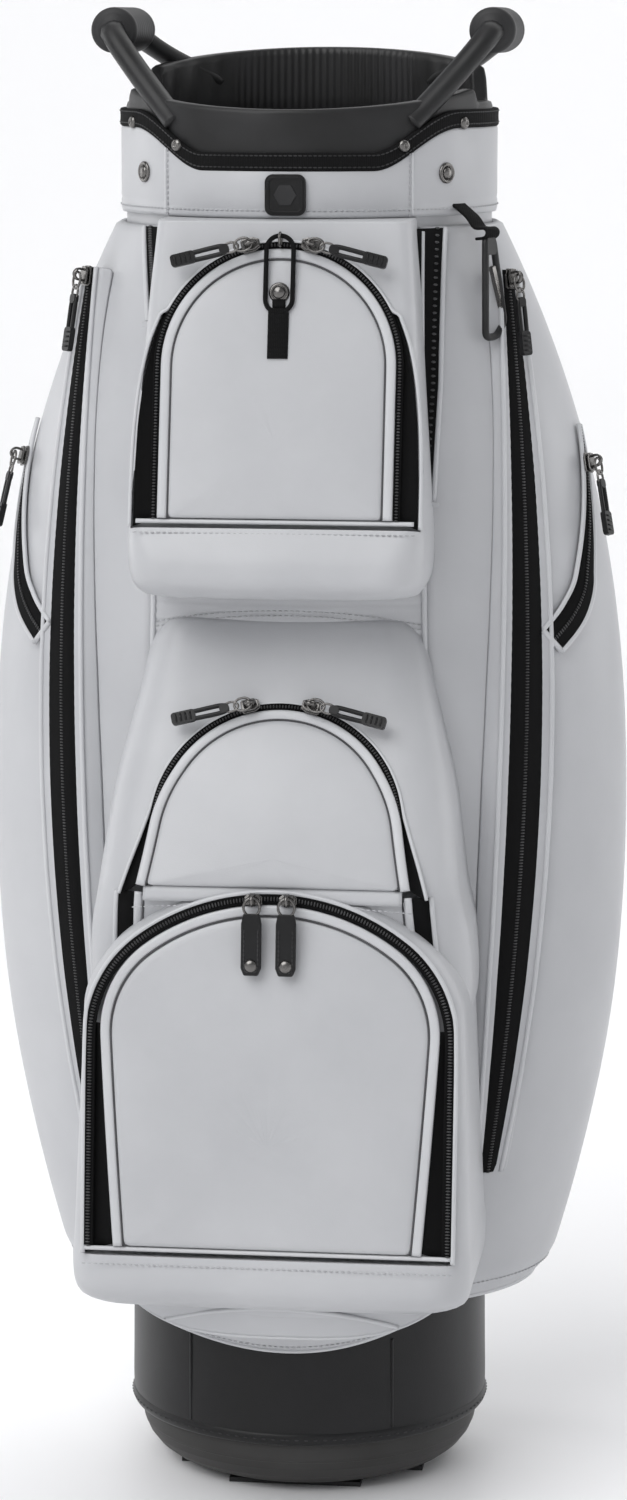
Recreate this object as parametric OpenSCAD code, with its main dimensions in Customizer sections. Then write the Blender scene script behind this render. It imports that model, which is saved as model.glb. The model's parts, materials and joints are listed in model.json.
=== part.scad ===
// Golf staff bag: moulded base and collar, stiff tube, leather skins, pockets, zips and handles.
// Frame: +Z up, the front faces -Y, and the origin is the middle of the base on the ground.

/* [Tube and base] */
// Outside diameter of the stiff main tube
tube_d = 224; // [222:1:226]
// Wall of the main tube
tube_wall = 2.5; // [2:0.5:3]
// Thickness of the leather skins on the tube
skin_t = 2.8; // [2:0.2:2.8]
// Height of the moulded base cup below its shoulder
cup_h = 45.5; // [44:0.5:45.5]
// Radius that rounds the bottom edge of the cup
cup_round = 31; // [26:1:31]
// Top of the black base sleeve
sleeve_top = 190; // [150:5:190]
// Top of the main tube
tube_top = 835; // [833:1:835]

/* [Collar and handles] */
// Height of the collar's rim at the front
rim_front = 877; // [872:1:880]
// Height of the collar's rim at the back
rim_back = 913; // [905:1:916]
// Inside radius of the collar
collar_in = 104; // [103:0.5:105]
// Outside radius of the collar
collar_out = 115; // [114:0.5:115]
// Distance of each grip from the middle plane
grip_x = 118; // [117:1:121]
// Height of the grips' centre line
grip_z = 924; // [920:1:926]
// Outside radius of the rubber grips
grip_r = 14.5; // [13:0.5:14.5]
// Length of the rubber grips
grip_len = 80; // [60:5:80]
// Radius of the handle bars
bar_r = 8.5; // [8:0.5:8.5]

/* [Cuff] */
// Lower hem of the leather cuff
cuff_bottom = 812; // [810:1:814]
// Top edge of the cuff leather at the front
cuff_low = 841; // [838:1:843]
// Top edge of the cuff leather at the sides
cuff_high = 866; // [860:1:867]
// Height of the black binding above the cuff leather
binding_h = 10; // [8:1:10]

/* [Dividers] */
// Spacing of the rows of club compartments
row_pitch = 50; // [48:1:51]
// Place of the walls in the outer rows
outer_wall_x = 32; // [30:1:34]
// Thickness of the padded divider bars
bar_t = 8; // [6:1:8]

/* [Side pockets] */
// Half width of the bag at the belly of the side pockets
belly = 204; // [195:1:206]
// Half width at the top of the side pockets
neck = 121; // [120:0.5:122]
// Half width at the bottom hem
hem = 154; // [148:1:158]
// Height of the belly
belly_z = 430; // [420:5:440]
// Half depth of the bag at the side pockets
half_depth = 118; // [118:0.5:120]
// Thickness of the padded pocket walls
wall = 3.5; // [3:0.5:3.5]

/* [Front pockets] */
// Half width of the upper pocket's panel
upper_w = 71; // [68:1:72]
// Half width of the middle pocket's panel
middle_w = 73; // [70:1:74]
// Half width of the lower pocket's panel
lower_w = 106; // [104:1:107]
// Thickness of the panels
panel_t = 3; // [2:0.5:3]
// Length of the moulded zip pulls
pull_len = 50; // [40:1:52]

/* [Hidden] */

LEATHER = "#c9cacd";
BLACK = "#1f1f20";
PLASTIC = "#343436";
METAL = "#5a5b5f";
ROUND = 160;            // segments of every true circle

tube_r = tube_d / 2;
skin_r = tube_r + skin_t + 0.2;       // outside of the leather skins
clear_r = skin_r + 0.3;               // where the pockets and the cuff start
foot_h = 3;
rim_mid = (rim_front + rim_back) / 2 - 9;  // where the handle arms meet the collar's rim
board_gap = 0.1;                      // between divider boards that meet
cup_r = 110;
pocket_bottom = 122;
pocket_top = 806;
levels = 18;
turns = 22;

// ---------------------------------------------------------------- helpers

// A ring with its axis along Z
module ring(r_in, r_out, z0, z1) {
    translate([0, 0, z0]) rotate_extrude($fn = ROUND) {
        translate([r_in, 0]) square([r_out - r_in, z1 - z0]);
    }
}

// Solid above the slanted plane of the collar's rim
module above_rim() {
    lift = rim_back - rim_front;
    slope = atan(lift / (2 * collar_out));
    translate([0, 0, (rim_back + rim_front) / 2]) rotate([slope, 0, 0]) {
        translate([-200, -200, 0]) cube([400, 400, 200]);
    }
}

// Everything below the wavy top edge of the cuff, raised by a given amount
module below_wave(raise) {
    rotate([90, 0, 0]) linear_extrude(400, center = true) polygon([
        [-150, 700], [150, 700], [150, cuff_high + raise], [96, cuff_high + raise],
        [56, cuff_low + raise], [-56, cuff_low + raise], [-96, cuff_high + raise],
        [-150, cuff_high + raise]]);
}

// Places its children on the round bag: the child's +Z points outward
module around(angle, r, z) {
    rotate([0, 0, angle]) translate([0, -r, z]) rotate([90, 0, 0]) children();
}

// ---------------------------------------------------------------- base

module base_cup() color(PLASTIC) rotate_extrude($fn = ROUND) polygon(concat(
    [[0, foot_h], [cup_r - cup_round, foot_h]],
    [for (a = [-75 : 15 : 0]) [cup_r - cup_round, foot_h + cup_round] + cup_round * [cos(a), sin(a)]],
    [[cup_r, cup_h], [106.8, cup_h], [106.8, 90], [103, 90]],
    [for (a = [0 : -15 : -90])
        [cup_r - cup_round, foot_h + cup_round] + (cup_round - 4) * [cos(a), sin(a)]],
    [[0, foot_h + 4]]));

module base_feet() color(BLACK) {
    for (a = [0 : 90 : 270]) rotate([0, 0, a]) {
        translate([-42.5, -79, 0]) cube([85, 20, foot_h]);
    }
    cylinder(r = 24, h = foot_h, $fn = 64);
}

module base_welt() color(BLACK) rotate_extrude($fn = ROUND) polygon([
    [cup_r + 0.3, 32], [114.5, 32], [116.5, 34.5], [116.5, 43], [114.5, 45.4],
    [cup_r + 0.3, 45.4]]);

module base_sleeve() color(BLACK) ring(tube_r + 0.2, skin_r, 46, sleeve_top);

// ---------------------------------------------------------------- tube and dividers

module core_tube() color("#3a3a3c") ring(tube_r - tube_wall, tube_r, 46, tube_top);

module stay_rods() color("silver") {
    for (a = [45 : 90 : 315]) rotate([0, 0, a]) {
        translate([97, 0, 28]) cylinder(r = 4, h = 808, $fn = 32);
    }
}

// The walls between the 3 + 4 + 4 + 3 club compartments, each a board of its own
module divider_walls(t, z0, z1, reach) {
    near = t / 2 + board_gap;
    for (y = [-row_pitch, 0, row_pitch]) {
        half = sqrt(reach * reach - pow(abs(y) + t / 2, 2));
        translate([-half, y - t / 2, z0]) cube([2 * half, t, z1 - z0]);
    }
    for (s = [0, 1]) mirror([0, s, 0]) {
        for (x = [-row_pitch, 0, row_pitch]) {
            translate([x - t / 2, near, z0]) cube([t, row_pitch - 2 * near, z1 - z0]);
        }
        for (x = [-outer_wall_x, outer_wall_x]) {
            far = sqrt(reach * reach - pow(outer_wall_x + t / 2, 2));
            translate([x - t / 2, row_pitch + near, z0]) {
                cube([t, far - row_pitch - near, z1 - z0]);
            }
        }
    }
}

module divider_panels() color("#2a2a2c") divider_walls(1.6, 40, 844, 102);

module divider_bars() color(BLACK) divider_walls(bar_t, 844.5, 862, collar_in - 0.3);

// ---------------------------------------------------------------- collar, handles, cuff

module collar() color(PLASTIC) difference() {
    ring(collar_in, collar_out, tube_top + 3, rim_back + 2);
    above_rim();
    for (s = [-1, 1]) {
        translate([s * 110 - 30, -36, 880]) cube([60, 72, 60]);
    }
}

module handle() difference() {
    union() {
        for (s = [-1, 1]) hull() {
            translate([80, s * 77, rim_mid + s * 9]) sphere(r = bar_r, $fn = 32);
            translate([grip_x, s * 48, grip_z]) sphere(r = bar_r, $fn = 32);
        }
        translate([grip_x, 0, grip_z]) rotate([90, 0, 0]) {
            cylinder(r = bar_r, h = 96, center = true, $fn = 64);
        }
    }
    difference() {
        translate([0, 0, 840]) cylinder(r = collar_out + 0.05, h = 120, $fn = ROUND);
        above_rim();
    }
    translate([0, 0, 840]) cylinder(r = collar_in + 4, h = 120, $fn = ROUND);
}

module handle_right() color(PLASTIC) handle();

module handle_left() color(PLASTIC) mirror([1, 0, 0]) handle();

module grip(side) translate([side * grip_x, 0, grip_z]) rotate([90, 0, 0]) difference() {
    cylinder(r = grip_r, h = grip_len, center = true, $fn = 64);
    cylinder(r = bar_r + 0.05, h = grip_len + 2, center = true, $fn = 64);
}

module grip_left() color("#4a4a4c") grip(-1);

module grip_right() color("#4a4a4c") grip(1);

module cuff() color(LEATHER) intersection() {
    ring(clear_r, clear_r + 3, cuff_bottom, 900);
    below_wave(0);
}

module cuff_binding() color(BLACK) difference() {
    intersection() {
        ring(clear_r, clear_r + 3.6, 830, 900);
        below_wave(binding_h);
    }
    below_wave(0.2);
}

module collar_screws() color(METAL) {
    for (a = [36, 60, 120, 144], s = [-1, 1]) {
        z = a == 36 || a == 144 ? 855 : 868;
        around(s * a, clear_r + 3.7, z) cylinder(r = 3.6, h = 2.2, $fn = 32);
    }
}

module cuff_studs() color(METAL) {
    for (a = [52, 128], s = [-1, 1]) around(s * a, clear_r + 3.1, 838) {
        cylinder(r = 5.5, h = 1.2, $fn = 48);
        cylinder(r = 3.4, h = 3, $fn = 48);
    }
}

module badge() color(BLACK) around(0, clear_r + 3.1, 826) linear_extrude(2.4) {
    offset(r = 5, $fn = 32) square(15, center = true);
}

// ---------------------------------------------------------------- body and back

module body_skin() color(LEATHER) ring(tube_r + 0.2, skin_r, sleeve_top + 0.3, 830);

module back_panel() color(LEATHER) difference() {
    translate([-36, 60, 150]) cube([72, 64, 655]);
    translate([0, 0, 100]) cylinder(r = clear_r, h = 800, $fn = ROUND);
}

strap_rise = 22;
strap_half = 180;
strap_r = (strap_half * strap_half + strap_rise * strap_rise) / (2 * strap_rise);

module shoulder_strap() color(BLACK) {
    sweep = 2 * asin(strap_half / strap_r);
    translate([0, 129 + strap_rise - strap_r, 590]) rotate([0, -90, 0]) {
        rotate([0, 0, 90 - sweep / 2]) rotate_extrude(angle = sweep, $fn = 720) {
            translate([strap_r - 3, -24]) square([6, 48]);
        }
    }
}

module strap_anchors() color(BLACK) {
    for (s = [-1, 1]) translate([-27, 124.2, s > 0 ? 771 : 387]) cube([54, 9, 22]);
}

// ---------------------------------------------------------------- side pockets

// Half width of the bag at a height: fullest at the belly, narrow at the neck and the hem
function half_width(z) = z > belly_z
    ? belly - (belly - neck) * pow((z - belly_z) / (pocket_top - belly_z), 2.3)
    : belly - (belly - hem) * pow((belly_z - z) / (belly_z - pocket_bottom), 2);

// One level of the side body: an elliptical arc from front to back, closed by a chord
function side_ring(z, inset) = [for (i = [0 : turns])
    let (a = -68 + 136 * i / turns)
    [(half_width(z) - inset) * cos(a), (half_depth - inset) * sin(a), z]];

module side_loft(inset, z0, z1) {
    count = turns + 1;
    points = [for (k = [0 : levels]) each side_ring(z0 + (z1 - z0) * k / levels, inset)];
    sides = [for (k = [0 : levels - 1], i = [0 : turns])
        let (a = k * count + i, b = k * count + (i + 1) % count)
        each [[a, b + count, b], [a, a + count, b + count]]];
    bottom = [for (i = [0 : turns]) i];
    top = [for (i = [turns : -1 : 0]) levels * count + i];
    polyhedron(points, concat(sides, [bottom, top]), convexity = 4);
}

// The room that the front pockets take out of the side pockets
module front_room(grow) {
    for (band = [[60, 405.5, 125], [405, 570, 113], [569, 900, 91]]) {
        translate([0, -160, band[0]]) cube([band[2] + grow, 120, band[1] - band[0]]);
    }
    translate([0, 40, 60]) cube([36.5 + grow, 120, 900]);
}

module side_pocket() difference() {
    side_loft(0, pocket_bottom, pocket_top);
    front_room(0);
    difference() {
        side_loft(wall, pocket_bottom + wall, pocket_top - wall);
        front_room(wall);
    }
    translate([0, 0, 60]) cylinder(r = clear_r, h = 900, $fn = ROUND);
}

module side_pocket_right() color(LEATHER) side_pocket();

module side_pocket_left() color(LEATHER) mirror([1, 0, 0]) side_pocket();

// Each side zip is an arc: [middle point, turn about Z, lean about X, radius, tilt outward]
side_path = [[141.8, -85.6, 459], -39, -2.6, 1642, 87];
outer_path = [[178.1, -41, 604], 0, -18.7, 310, 60.5];
zip_lift = 3.9;         // height of the tapes above the pocket

// Child frame on a zip's arc: X across, Y up along the zip, Z outward
module on_zip(path, theta) {
    translate(path[0]) rotate([path[2], 0, path[1]]) translate([-path[3], 0, 0]) {
        rotate([90, 0, 0]) rotate([0, 0, theta]) translate([path[3], 0, 0]) {
            rotate([0, path[4], 0]) children();
        }
    }
}

module zip_tape(path, from, to, width) {
    translate(path[0]) rotate([path[2], 0, path[1]]) translate([-path[3], 0, 0]) {
        rotate([90, 0, 0]) rotate([0, 0, from]) rotate_extrude(angle = to - from, $fn = 720) {
            translate([path[3], 0]) rotate(90 - path[4]) {
                translate([zip_lift, -width / 2]) square([1.6, width]);
            }
        }
    }
}

side_top = 11;          // arc angles at the ends of the long side zips
side_end = -7.4;
outer_top = 10;         // arc angles at the ends of the short outer zips
outer_end = -10;

module side_zips() {
    zip_tape(side_path, side_end, side_top, 8);
    zip_tape(outer_path, outer_end, outer_top + 2, 10);
}

module side_zips_right() color(BLACK) side_zips();

module side_zips_left() color(BLACK) mirror([1, 0, 0]) side_zips();

// ---------------------------------------------------------------- front pockets

// Outline of an arched panel: half width w, straight height h, crown radius r1, corner radius r2
function arch_rise(w, r1, r2) = r1 == r2 ? 0 : sqrt(pow(r1 - r2, 2) - pow(w - r2, 2));
function arch_turn(w, r1, r2) = r1 == r2 ? 90 : asin(arch_rise(w, r1, r2) / (r1 - r2));
function arch_points(w, h, r1, r2) =
    let (turn = arch_turn(w, r1, r2), rise = arch_rise(w, r1, r2))
    concat([[w, 0]],
        [for (i = [0 : 8]) [w - r2, h] + r2 * [cos(turn * i / 8), sin(turn * i / 8)]],
        [for (i = [1 : 11]) let (a = turn + (180 - 2 * turn) * i / 12)
            if (r1 != r2) [0, h - rise] + r1 * [cos(a), sin(a)]],
        [for (i = [0 : 8]) let (a = 180 - turn + turn * i / 8)
            if (i > 0 || r1 != r2) [r2 - w, h] + r2 * [cos(a), sin(a)]],
        [[-w, 0]]);

// A pocket: [hinge y, hinge z, lean back, half width, straight height, crown radius, corner radius]
UPPER = [-172, 633, 12.2, upper_w, 92, upper_w, upper_w];
MIDDLE = [-184.2, 410, 23.1, middle_w, 38, middle_w, middle_w];
LOWER = [-212.8, 192, 6.7, lower_w, 128, 130, 70];

zip_gap = 0.8;          // between a panel's edge and its zip
zip_w = 6.5;
lid_gap = 0.4;          // between a closed panel and the pocket's front

// Child frame on a pocket's sloping front: X to the right, Y up the slope, Z outward
module on_front(p) translate([0, p[0], p[1]]) rotate([90 - p[2], 0, 0]) children();

module arch(p, grow) polygon(arch_points(p[3] + grow, p[4], p[5] + grow, p[6] + grow));

module panel(p) on_front(p) translate([0, 2, lid_gap]) linear_extrude(panel_t) arch(p, 0);

module zip_arch(p) on_front(p) translate([0, 2, 0.05]) linear_extrude(1.6) difference() {
    arch(p, zip_gap + zip_w);
    arch(p, zip_gap);
}

// Shell of a pocket from its side profile and its front outline, open at the back and at the arch
module pocket_shell(p, profile, outline, floor_z) difference() {
    pocket_block(profile, outline, 0);
    intersection() {
        pocket_block(profile, outline, wall);
        translate([-200, -300, floor_z]) cube([400, 300, 600]);
    }
    on_front(p) translate([0, 4, -9]) linear_extrude(30) arch(p, -6);
    translate([0, 0, 60]) cylinder(r = clear_r, h = 900, $fn = ROUND);
}

module pocket_block(profile, outline, inset) intersection() {
    rotate([90, 0, 0]) linear_extrude(600, center = true) offset(delta = -inset) {
        polygon(outline);
    }
    rotate([90, 0, 90]) linear_extrude(600, center = true) offset(delta = -inset) {
        polygon(profile);
    }
}

// Front outline with an arched top: straight flaring sides below z1, then an arc up to the crown
function flared(w0, z0, w1, z1, top) = concat([[w0, z0], [w1, z1]],
    [for (a = [15 : 15 : 165]) [w1 * cos(a), z1 + (top - z1) * sin(a)]],
    [[-w1, z1], [-w0, z0]]);

module upper_pocket() color(LEATHER) pocket_shell(UPPER,
    [[-60, 806], [-124, 806], [-136.5, 797], [-172, 633], [-187, 606], [-185, 592],
        [-172, 585], [-60, 585]],
    [[89, 580], [84, 725], [76, 808], [-76, 808], [-84, 725], [-89, 580]], 588.5);

module middle_pocket() color(LEATHER) pocket_shell(MIDDLE,
    [[-60, 567], [-117.2, 567], [-184.2, 410], [-184.2, 406], [-60, 406]],
    [[111, 400], [104, 470], [90, 540], [80, 570], [-80, 570], [-90, 540], [-104, 470], [-111, 400]],
    409);

module lower_pocket() color(LEATHER) pocket_shell(LOWER,
    [[-60, 404.5], [-187.8, 404.5], [-212.8, 192], [-216, 172], [-211, 148], [-150, 104], [-60, 104]],
    concat([[96, 100]], flared(123, 150, 114.5, 320, 404.6), [[-96, 100]]), 108);

module upper_panel() color(LEATHER) panel(UPPER);

module middle_panel() color(LEATHER) panel(MIDDLE);

module lower_panel() color(LEATHER) panel(LOWER);

module upper_zip() color(BLACK) zip_arch(UPPER);

module middle_zip() color(BLACK) zip_arch(MIDDLE);

module lower_zip() color(BLACK) zip_arch(LOWER);

// Height of the circle's centre that a panel's sliders run round, and its radius
function crown_y(p) = 2 + p[4] - arch_rise(p[3], p[5], p[6]);
function crown_r(p) = p[5] + zip_gap + zip_w / 2;

// Child frame on a panel's zip at an angle to the left of the crown; Y points outward from it
module on_arch(p, angle) on_front(p) translate([0, crown_y(p), 3.8]) rotate([0, 0, angle]) {
    translate([0, crown_r(p), 0]) children();
}

// ---------------------------------------------------------------- loop, tab and hook

loop_y = 146;           // middle of the elastic loop above the upper panel's hinge

module elastic_loop() color(BLACK) on_front(UPPER) translate([0, loop_y, 5]) {
    linear_extrude(3) difference() {
        hull() for (y = [-12, 18]) translate([0, y]) circle(r = 9.6, $fn = 48);
        hull() for (y = [-12, 18]) translate([0, y]) circle(r = 6.8, $fn = 48);
    }
}

module loop_tab() color(BLACK) on_front(UPPER) {
    translate([0, loop_y - 8, 3.5]) cylinder(r = 6.3, h = 6, $fn = 48);
    translate([-6.3, loop_y - 48, 3.5]) cube([12.6, 26, 1.4]);
}

// Child frame of the hanging hook: pivot at the origin, Z outward, Y up
module on_hook() translate([119.6, -74.7, 802]) rotate([86, 0, 58]) children();

pin_r = 1.5;
eye_bore = 1.57;

// A pin held by two cheeks, standing on a base at the child's own height
module pin_fork(height) {
    translate([0, 0, height]) rotate([0, 90, 0]) {
        cylinder(r = pin_r, h = 9.2, center = true, $fn = 32);
    }
    for (s = [-1, 1]) translate([s * 3.9 - 0.7, -3, 0]) cube([1.4, 6, height + 2.4]);
}

// An eye that turns on the pin
module pin_eye() rotate([0, 90, 0]) difference() {
    cylinder(r = 3.3, h = 5.6, center = true, $fn = 48);
    cylinder(r = eye_bore, h = 8, center = true, $fn = 48);
}

module hook_strap() color(BLACK) on_hook() {
    translate([-6, -4, -7.5]) cube([12, 8, 1.8]);
    translate([-6, 3, -7.5]) rotate([-42, 0, 0]) cube([12, 21, 1.8]);
    translate([0, 0, -5.7]) pin_fork(5.7);
}

module hook_side(grow) hull() {
    translate([0, -10]) circle(r = 3.6 + grow, $fn = 32);
    translate([-6, -62]) circle(r = 3.6 + grow, $fn = 32);
    translate([8, -54]) circle(r = 3.6 + grow, $fn = 32);
}

module snap_hook() color(PLASTIC) on_hook() difference() {
    union() {
        translate([0, 0, -2]) linear_extrude(4) difference() {
            hook_side(1);
            hook_side(-2.4);
        }
        translate([-2.6, -8, -2]) cube([5.2, 6, 4]);
        pin_eye();
    }
    rotate([0, 90, 0]) cylinder(r = eye_bore, h = 9, center = true, $fn = 48);
    translate([5.2, -46, -3]) rotate([0, 0, 17]) translate([-0.5, -2, 0]) cube([12, 28, 6]);
}

module hook_gate() color(METAL) on_hook() translate([5.2, -46, -1.4]) rotate([0, 0, 17]) {
    translate([3, -1.2, 0]) cube([2.4, 26.4, 2.8]);
}

// ---------------------------------------------------------------- sliders and pulls

pin_h = 7.8;            // height of the pull's pin above the zip

module slider(wide, long) {
    translate([-wide / 2, -long / 2, 0]) cube([wide, long, 4]);
    translate([0, 0, 4]) pin_fork(pin_h - 4);
}

module pull() translate([0, 0, pin_h]) {
    pin_eye();
    difference() {
        translate([0, 0, -1.5]) linear_extrude(3) {
            translate([-2.6, -9]) square([5.2, 7]);
            hull() {
                translate([0, -10]) circle(r = 2.8, $fn = 32);
                translate([0, 6 - pull_len]) circle(r = 4.4, $fn = 32);
            }
        }
        rotate([0, 90, 0]) cylinder(r = eye_bore, h = 9, center = true, $fn = 48);
    }
}

module tab_pull() translate([0, 0, pin_h]) {
    pin_eye();
    difference() {
        translate([-2.6, -9, -1.3]) cube([5.2, 8, 2.6]);
        rotate([0, 90, 0]) cylinder(r = eye_bore, h = 9, center = true, $fn = 48);
    }
    translate([-6.2, -46, -1.3]) cube([12.4, 37.2, 2.6]);
    translate([0, -39, 1.2]) cylinder(r = 3.6, h = 1.8, $fn = 32);
}

rest_angle = 14;        // of the upper and middle sliders, away from the crown
rest_lower = 4.5;       // of the lower sliders

// Turns the child's -Y, along which a pull lies, to the side along the arch
module along() rotate([0, 0, -90]) children();

module mirror_if(right) mirror([right ? 1 : 0, 0, 0]) children();

module arch_slider(p, right) mirror_if(right) on_arch(p, rest_angle) along() slider(9.4, 12);

module arch_pull(p, right) mirror_if(right) on_arch(p, rest_angle) along() pull();

module upper_slider_left() color(METAL) arch_slider(UPPER, false);

module upper_slider_right() color(METAL) arch_slider(UPPER, true);

module upper_pull_left() color(BLACK) arch_pull(UPPER, false);

module upper_pull_right() color(BLACK) arch_pull(UPPER, true);

module middle_slider_left() color(METAL) arch_slider(MIDDLE, false);

module middle_slider_right() color(METAL) arch_slider(MIDDLE, true);

module middle_pull_left() color(BLACK) arch_pull(MIDDLE, false);

module middle_pull_right() color(BLACK) arch_pull(MIDDLE, true);

module hanging(right) mirror_if(right) on_arch(LOWER, rest_lower) {
    rotate([0, 0, -rest_lower]) children();
}

module lower_slider_left() color(METAL) hanging(false) slider(12, 6.5);

module lower_slider_right() color(METAL) hanging(true) slider(12, 6.5);

module lower_pull_left() color(BLACK) hanging(false) tab_pull();

module lower_pull_right() color(BLACK) hanging(true) tab_pull();

// The sliders of the side zips ride a little above the tapes
module side_rider(right, path, theta) mirror_if(!right) on_zip(path, theta) {
    translate([0, 0, zip_lift + 2]) children();
}

module side_slider_left() color(METAL) side_rider(false, side_path, side_top) slider(9, 13);

module side_slider_right() color(METAL) side_rider(true, side_path, side_top) slider(9, 13);

module side_pull_left() color(BLACK) side_rider(false, side_path, side_top) pull();

module side_pull_right() color(BLACK) side_rider(true, side_path, side_top) pull();

module outer_slider_left() color(METAL) side_rider(false, outer_path, outer_top) slider(9, 13);

module outer_slider_right() color(METAL) side_rider(true, outer_path, outer_top) slider(9, 13);

module outer_pull_left() color(BLACK) side_rider(false, outer_path, outer_top) pull();

module outer_pull_right() color(BLACK) side_rider(true, outer_path, outer_top) pull();

// ---------------------------------------------------------------- the whole bag

base_cup();
base_feet();
base_welt();
base_sleeve();
core_tube();
stay_rods();
divider_panels();
divider_bars();
collar();
handle_left();
handle_right();
grip_left();
grip_right();
cuff();
cuff_binding();
collar_screws();
cuff_studs();
badge();
body_skin();
back_panel();
shoulder_strap();
strap_anchors();
side_pocket_left();
side_pocket_right();
side_zips_left();
side_zips_right();
upper_pocket();
upper_panel();
upper_zip();
middle_pocket();
middle_panel();
middle_zip();
lower_pocket();
lower_panel();
lower_zip();
elastic_loop();
loop_tab();
hook_strap();
snap_hook();
hook_gate();
upper_slider_left();
upper_slider_right();
upper_pull_left();
upper_pull_right();
middle_slider_left();
middle_slider_right();
middle_pull_left();
middle_pull_right();
lower_slider_left();
lower_slider_right();
lower_pull_left();
lower_pull_right();
side_slider_left();
side_slider_right();
side_pull_left();
side_pull_right();
outer_slider_left();
outer_slider_right();
outer_pull_left();
outer_pull_right();
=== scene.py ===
"""Looks of the golf staff bag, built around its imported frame. Lengths are in mm until a mesh is made."""
import json
import math

import bpy
import numpy as np
from mathutils import Matrix, Vector

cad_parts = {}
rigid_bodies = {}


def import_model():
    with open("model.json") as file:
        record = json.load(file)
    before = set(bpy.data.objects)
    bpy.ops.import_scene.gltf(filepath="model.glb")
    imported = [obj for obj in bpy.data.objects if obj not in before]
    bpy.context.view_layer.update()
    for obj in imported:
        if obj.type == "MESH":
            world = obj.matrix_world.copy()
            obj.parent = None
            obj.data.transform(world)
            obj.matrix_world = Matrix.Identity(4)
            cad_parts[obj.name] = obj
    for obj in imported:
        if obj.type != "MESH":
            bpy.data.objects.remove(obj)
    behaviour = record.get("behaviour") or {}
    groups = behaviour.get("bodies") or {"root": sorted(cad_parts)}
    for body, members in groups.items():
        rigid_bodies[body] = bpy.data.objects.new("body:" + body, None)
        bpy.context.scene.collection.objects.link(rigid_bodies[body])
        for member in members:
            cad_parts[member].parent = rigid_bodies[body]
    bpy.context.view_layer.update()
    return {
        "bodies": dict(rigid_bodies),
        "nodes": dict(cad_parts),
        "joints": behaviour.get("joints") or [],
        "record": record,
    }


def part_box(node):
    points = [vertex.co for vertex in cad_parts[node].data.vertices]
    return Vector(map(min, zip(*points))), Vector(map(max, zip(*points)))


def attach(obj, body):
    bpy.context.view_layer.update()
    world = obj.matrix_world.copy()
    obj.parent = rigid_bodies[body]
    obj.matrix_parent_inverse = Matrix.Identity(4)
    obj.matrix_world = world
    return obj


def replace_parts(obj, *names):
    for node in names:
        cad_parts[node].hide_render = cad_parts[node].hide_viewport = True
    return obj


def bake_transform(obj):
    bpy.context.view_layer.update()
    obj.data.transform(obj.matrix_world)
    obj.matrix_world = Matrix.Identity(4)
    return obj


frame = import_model()
MM = 0.001
JOINTS = {j["name"]: j for j in frame["joints"]}


# ---------------------------------------------------------------- frame values

def box(node):
    """Lowest and highest corner of a CAD node, in mm."""
    low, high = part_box(node)
    return np.array(low) / MM, np.array(high) / MM


SKIN_R = box("body_skin")[1][0]
CUFF_LOW, CUFF_HIGH = box("cuff")
SIDE_LOW, SIDE_HIGH = box("side_pocket_right")
BELLY = SIDE_HIGH[0]
BELLY_Z = 430.0
NECK = 121.0
HEM_WIDE = 154.0
HALF_DEPTH = 118.0
TOP_Z = SIDE_HIGH[2]
HEM_Z = SIDE_LOW[2]


def half_width(z):
    """Half width of the bag: fullest at the belly, narrow at the neck and at the hem."""
    z = np.asarray(z, float)
    up = np.clip((z - BELLY_Z) / (TOP_Z - BELLY_Z), 0, 1.2)
    down = np.clip((BELLY_Z - z) / (BELLY_Z - HEM_Z), 0, 1.2)
    return BELLY - (BELLY - NECK) * up ** 2.3 - (BELLY - HEM_WIDE) * down ** 2


def on_side(t, z, lift=0.0):
    """Point of the bag's outer surface: t in degrees from the front towards +X."""
    a = np.radians(t)
    w = half_width(z) + lift
    return np.stack(np.broadcast_arrays(w * np.sin(a), -(HALF_DEPTH + lift) * np.cos(a), z), -1)


# ---------------------------------------------------------------- mesh builders

def unit(v):
    """Vectors scaled to length one."""
    v = np.asarray(v, float)
    return v / np.maximum(np.linalg.norm(v, axis=-1, keepdims=True), 1e-9)


def mesh_object(name, verts, faces, material, smooth=True):
    """A mesh object from vertices in mm."""
    mesh = bpy.data.meshes.new(name)
    mesh.from_pydata((np.asarray(verts, float) * MM).tolist(), [], [tuple(f) for f in faces])
    mesh.validate()
    mesh.polygons.foreach_set("use_smooth", [smooth] * len(mesh.polygons))
    mesh.materials.append(material)
    mesh.update()
    obj = bpy.data.objects.new(name, mesh)
    bpy.context.scene.collection.objects.link(obj)
    return obj


def grid_faces(rows, cols, wrap=False, start=0):
    last = cols if wrap else cols - 1
    return [(start + r * cols + c, start + r * cols + (c + 1) % cols,
             start + (r + 1) * cols + (c + 1) % cols, start + (r + 1) * cols + c)
            for r in range(rows - 1) for c in range(last)]


def sheet(name, points, material, thickness=0.0, wrap=False, subdivide=0, offset=-1.0):
    """A smooth sheet through a grid of points, thickened towards its back."""
    points = np.asarray(points, float)
    rows, cols = points.shape[:2]
    obj = mesh_object(name, points.reshape(-1, 3), grid_faces(rows, cols, wrap), material)
    if thickness:
        solid = obj.modifiers.new("thick", "SOLIDIFY")
        solid.thickness = thickness * MM
        solid.offset = offset
    if subdivide:
        sub = obj.modifiers.new("smooth", "SUBSURF")
        sub.levels = sub.render_levels = subdivide
    return obj


def flip(obj):
    obj.data.flip_normals()
    return obj


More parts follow.
